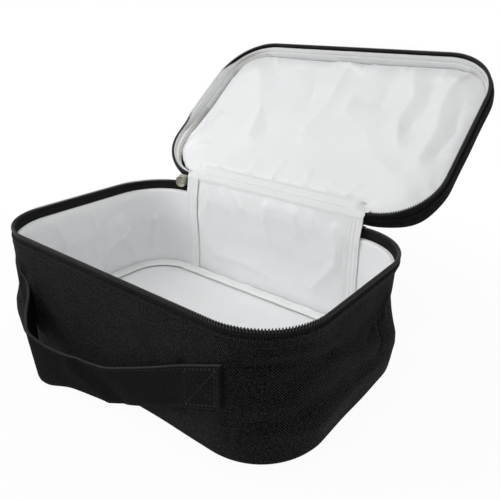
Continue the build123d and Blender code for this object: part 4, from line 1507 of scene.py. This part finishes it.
# ---------------------------------------------------------------- the sidebar
class BagSizes(bpy.types.PropertyGroup):
    """The sizes that a maker would change, in millimetres"""
    cloth_thickness: bpy.props.FloatProperty(
        name="Cloth thickness", description="Thickness of the black cloth in mm",
        default=0.9, min=0.3, max=2.0)
    slack: bpy.props.FloatProperty(
        name="Slack", description="How deep the creases of the cloth and lining are",
        default=1.0, min=0.0, max=1.5, subtype="FACTOR")
    stitch_pitch: bpy.props.FloatProperty(
        name="Stitch pitch", description="Distance between stitches in mm", default=3.4, min=2.0, max=6.0)
    stitch_width: bpy.props.FloatProperty(
        name="Thread width", description="Thickness of the sewing thread in mm",
        default=0.8, min=0.3, max=1.2)
    coil_pitch: bpy.props.FloatProperty(
        name="Coil pitch", description="Distance between the zip's teeth in mm",
        default=1.85, min=1.0, max=4.0)
    puff_limit: bpy.props.FloatProperty(
        name="Puff limit", description="How far the lid's padding may swell in mm",
        default=5.0, min=1.0, max=16.0)
    strap_width: bpy.props.FloatProperty(
        name="Strap width", description="Width of the handle's webbing in mm",
        default=30.0, min=20.0, max=40.0)
    strap_thickness: bpy.props.FloatProperty(
        name="Strap thickness", description="Thickness of the webbing in mm", default=2.4, min=1.0, max=4.0)
    table_glow: bpy.props.FloatProperty(
        name="Table white", description="How much of the table is plain white",
        default=0.95, min=0.0, max=1.0, subtype="FACTOR")


COLOUR = {"subtype": "COLOR", "size": 3, "min": 0, "max": 1}


class BagColours(bpy.types.PropertyGroup):
    """The colours that a maker would change"""
    cloth: bpy.props.FloatVectorProperty(
        name="Cloth", description="Colour of the outer cloth and the strap",
        default=(0.02, 0.02, 0.0205), **COLOUR)
    tape: bpy.props.FloatVectorProperty(
        name="Zip tape", description="Colour of the zip's tape", default=(0.015, 0.015, 0.016), **COLOUR)
    coil: bpy.props.FloatVectorProperty(
        name="Zip coil", description="Colour of the zip's coil", default=(0.007, 0.007, 0.0075), **COLOUR)
    metal: bpy.props.FloatVectorProperty(
        name="Metal", description="Colour of the slider and its pull", default=(0.44, 0.43, 0.36), **COLOUR)
    lining: bpy.props.FloatVectorProperty(
        name="Lining", description="Colour of the white lining", default=(0.858, 0.867, 0.873), **COLOUR)
    binding: bpy.props.FloatVectorProperty(
        name="Binding", description="Colour of the white tapes", default=(0.8, 0.81, 0.815), **COLOUR)


STEPS = ("stage", "finishes", "shell", "lining", "back_tapes", "rim", "lid", "lid_pad", "lid_edge", "hinge",
         "slider", "strap", "stitches")


class BAG_PT_bag(bpy.types.Panel):
    """Lists the bag's sizes, colours and pieces"""
    bl_label = "Carrier bag"
    bl_idname = "BAG_PT_bag"
    bl_space_type = "VIEW_3D"
    bl_region_type = "UI"
    bl_category = "Carrier bag"

    def draw(self, context):
        for group in (sizes(), colours()):
            box = self.layout.box()
            for name in group.__annotations__:
                box.prop(group, name)
        for step in STEPS:
            self.layout.operator("carrier_bag." + step)


CLASSES = (BagSizes, BagColours, BAG_OT_stage, BAG_OT_finishes, BAG_OT_shell, BAG_OT_lining,
           BAG_OT_back_tapes, BAG_OT_rim, BAG_OT_lid, BAG_OT_lid_pad, BAG_OT_lid_edge, BAG_OT_hinge,
           BAG_OT_slider, BAG_OT_strap, BAG_OT_stitches, BAG_PT_bag)


def register():
    for made in CLASSES:
        bpy.utils.register_class(made)
    bpy.types.Scene.carrier_bag_sizes = bpy.props.PointerProperty(type=BagSizes)
    bpy.types.Scene.carrier_bag_colours = bpy.props.PointerProperty(type=BagColours)


def unregister():
    del bpy.types.Scene.carrier_bag_colours
    del bpy.types.Scene.carrier_bag_sizes
    for made in reversed(CLASSES):
        bpy.utils.unregister_class(made)


def main():
    register()
    for step in STEPS:
        getattr(bpy.ops.carrier_bag, step)()


if __name__ == "__main__":
    main()
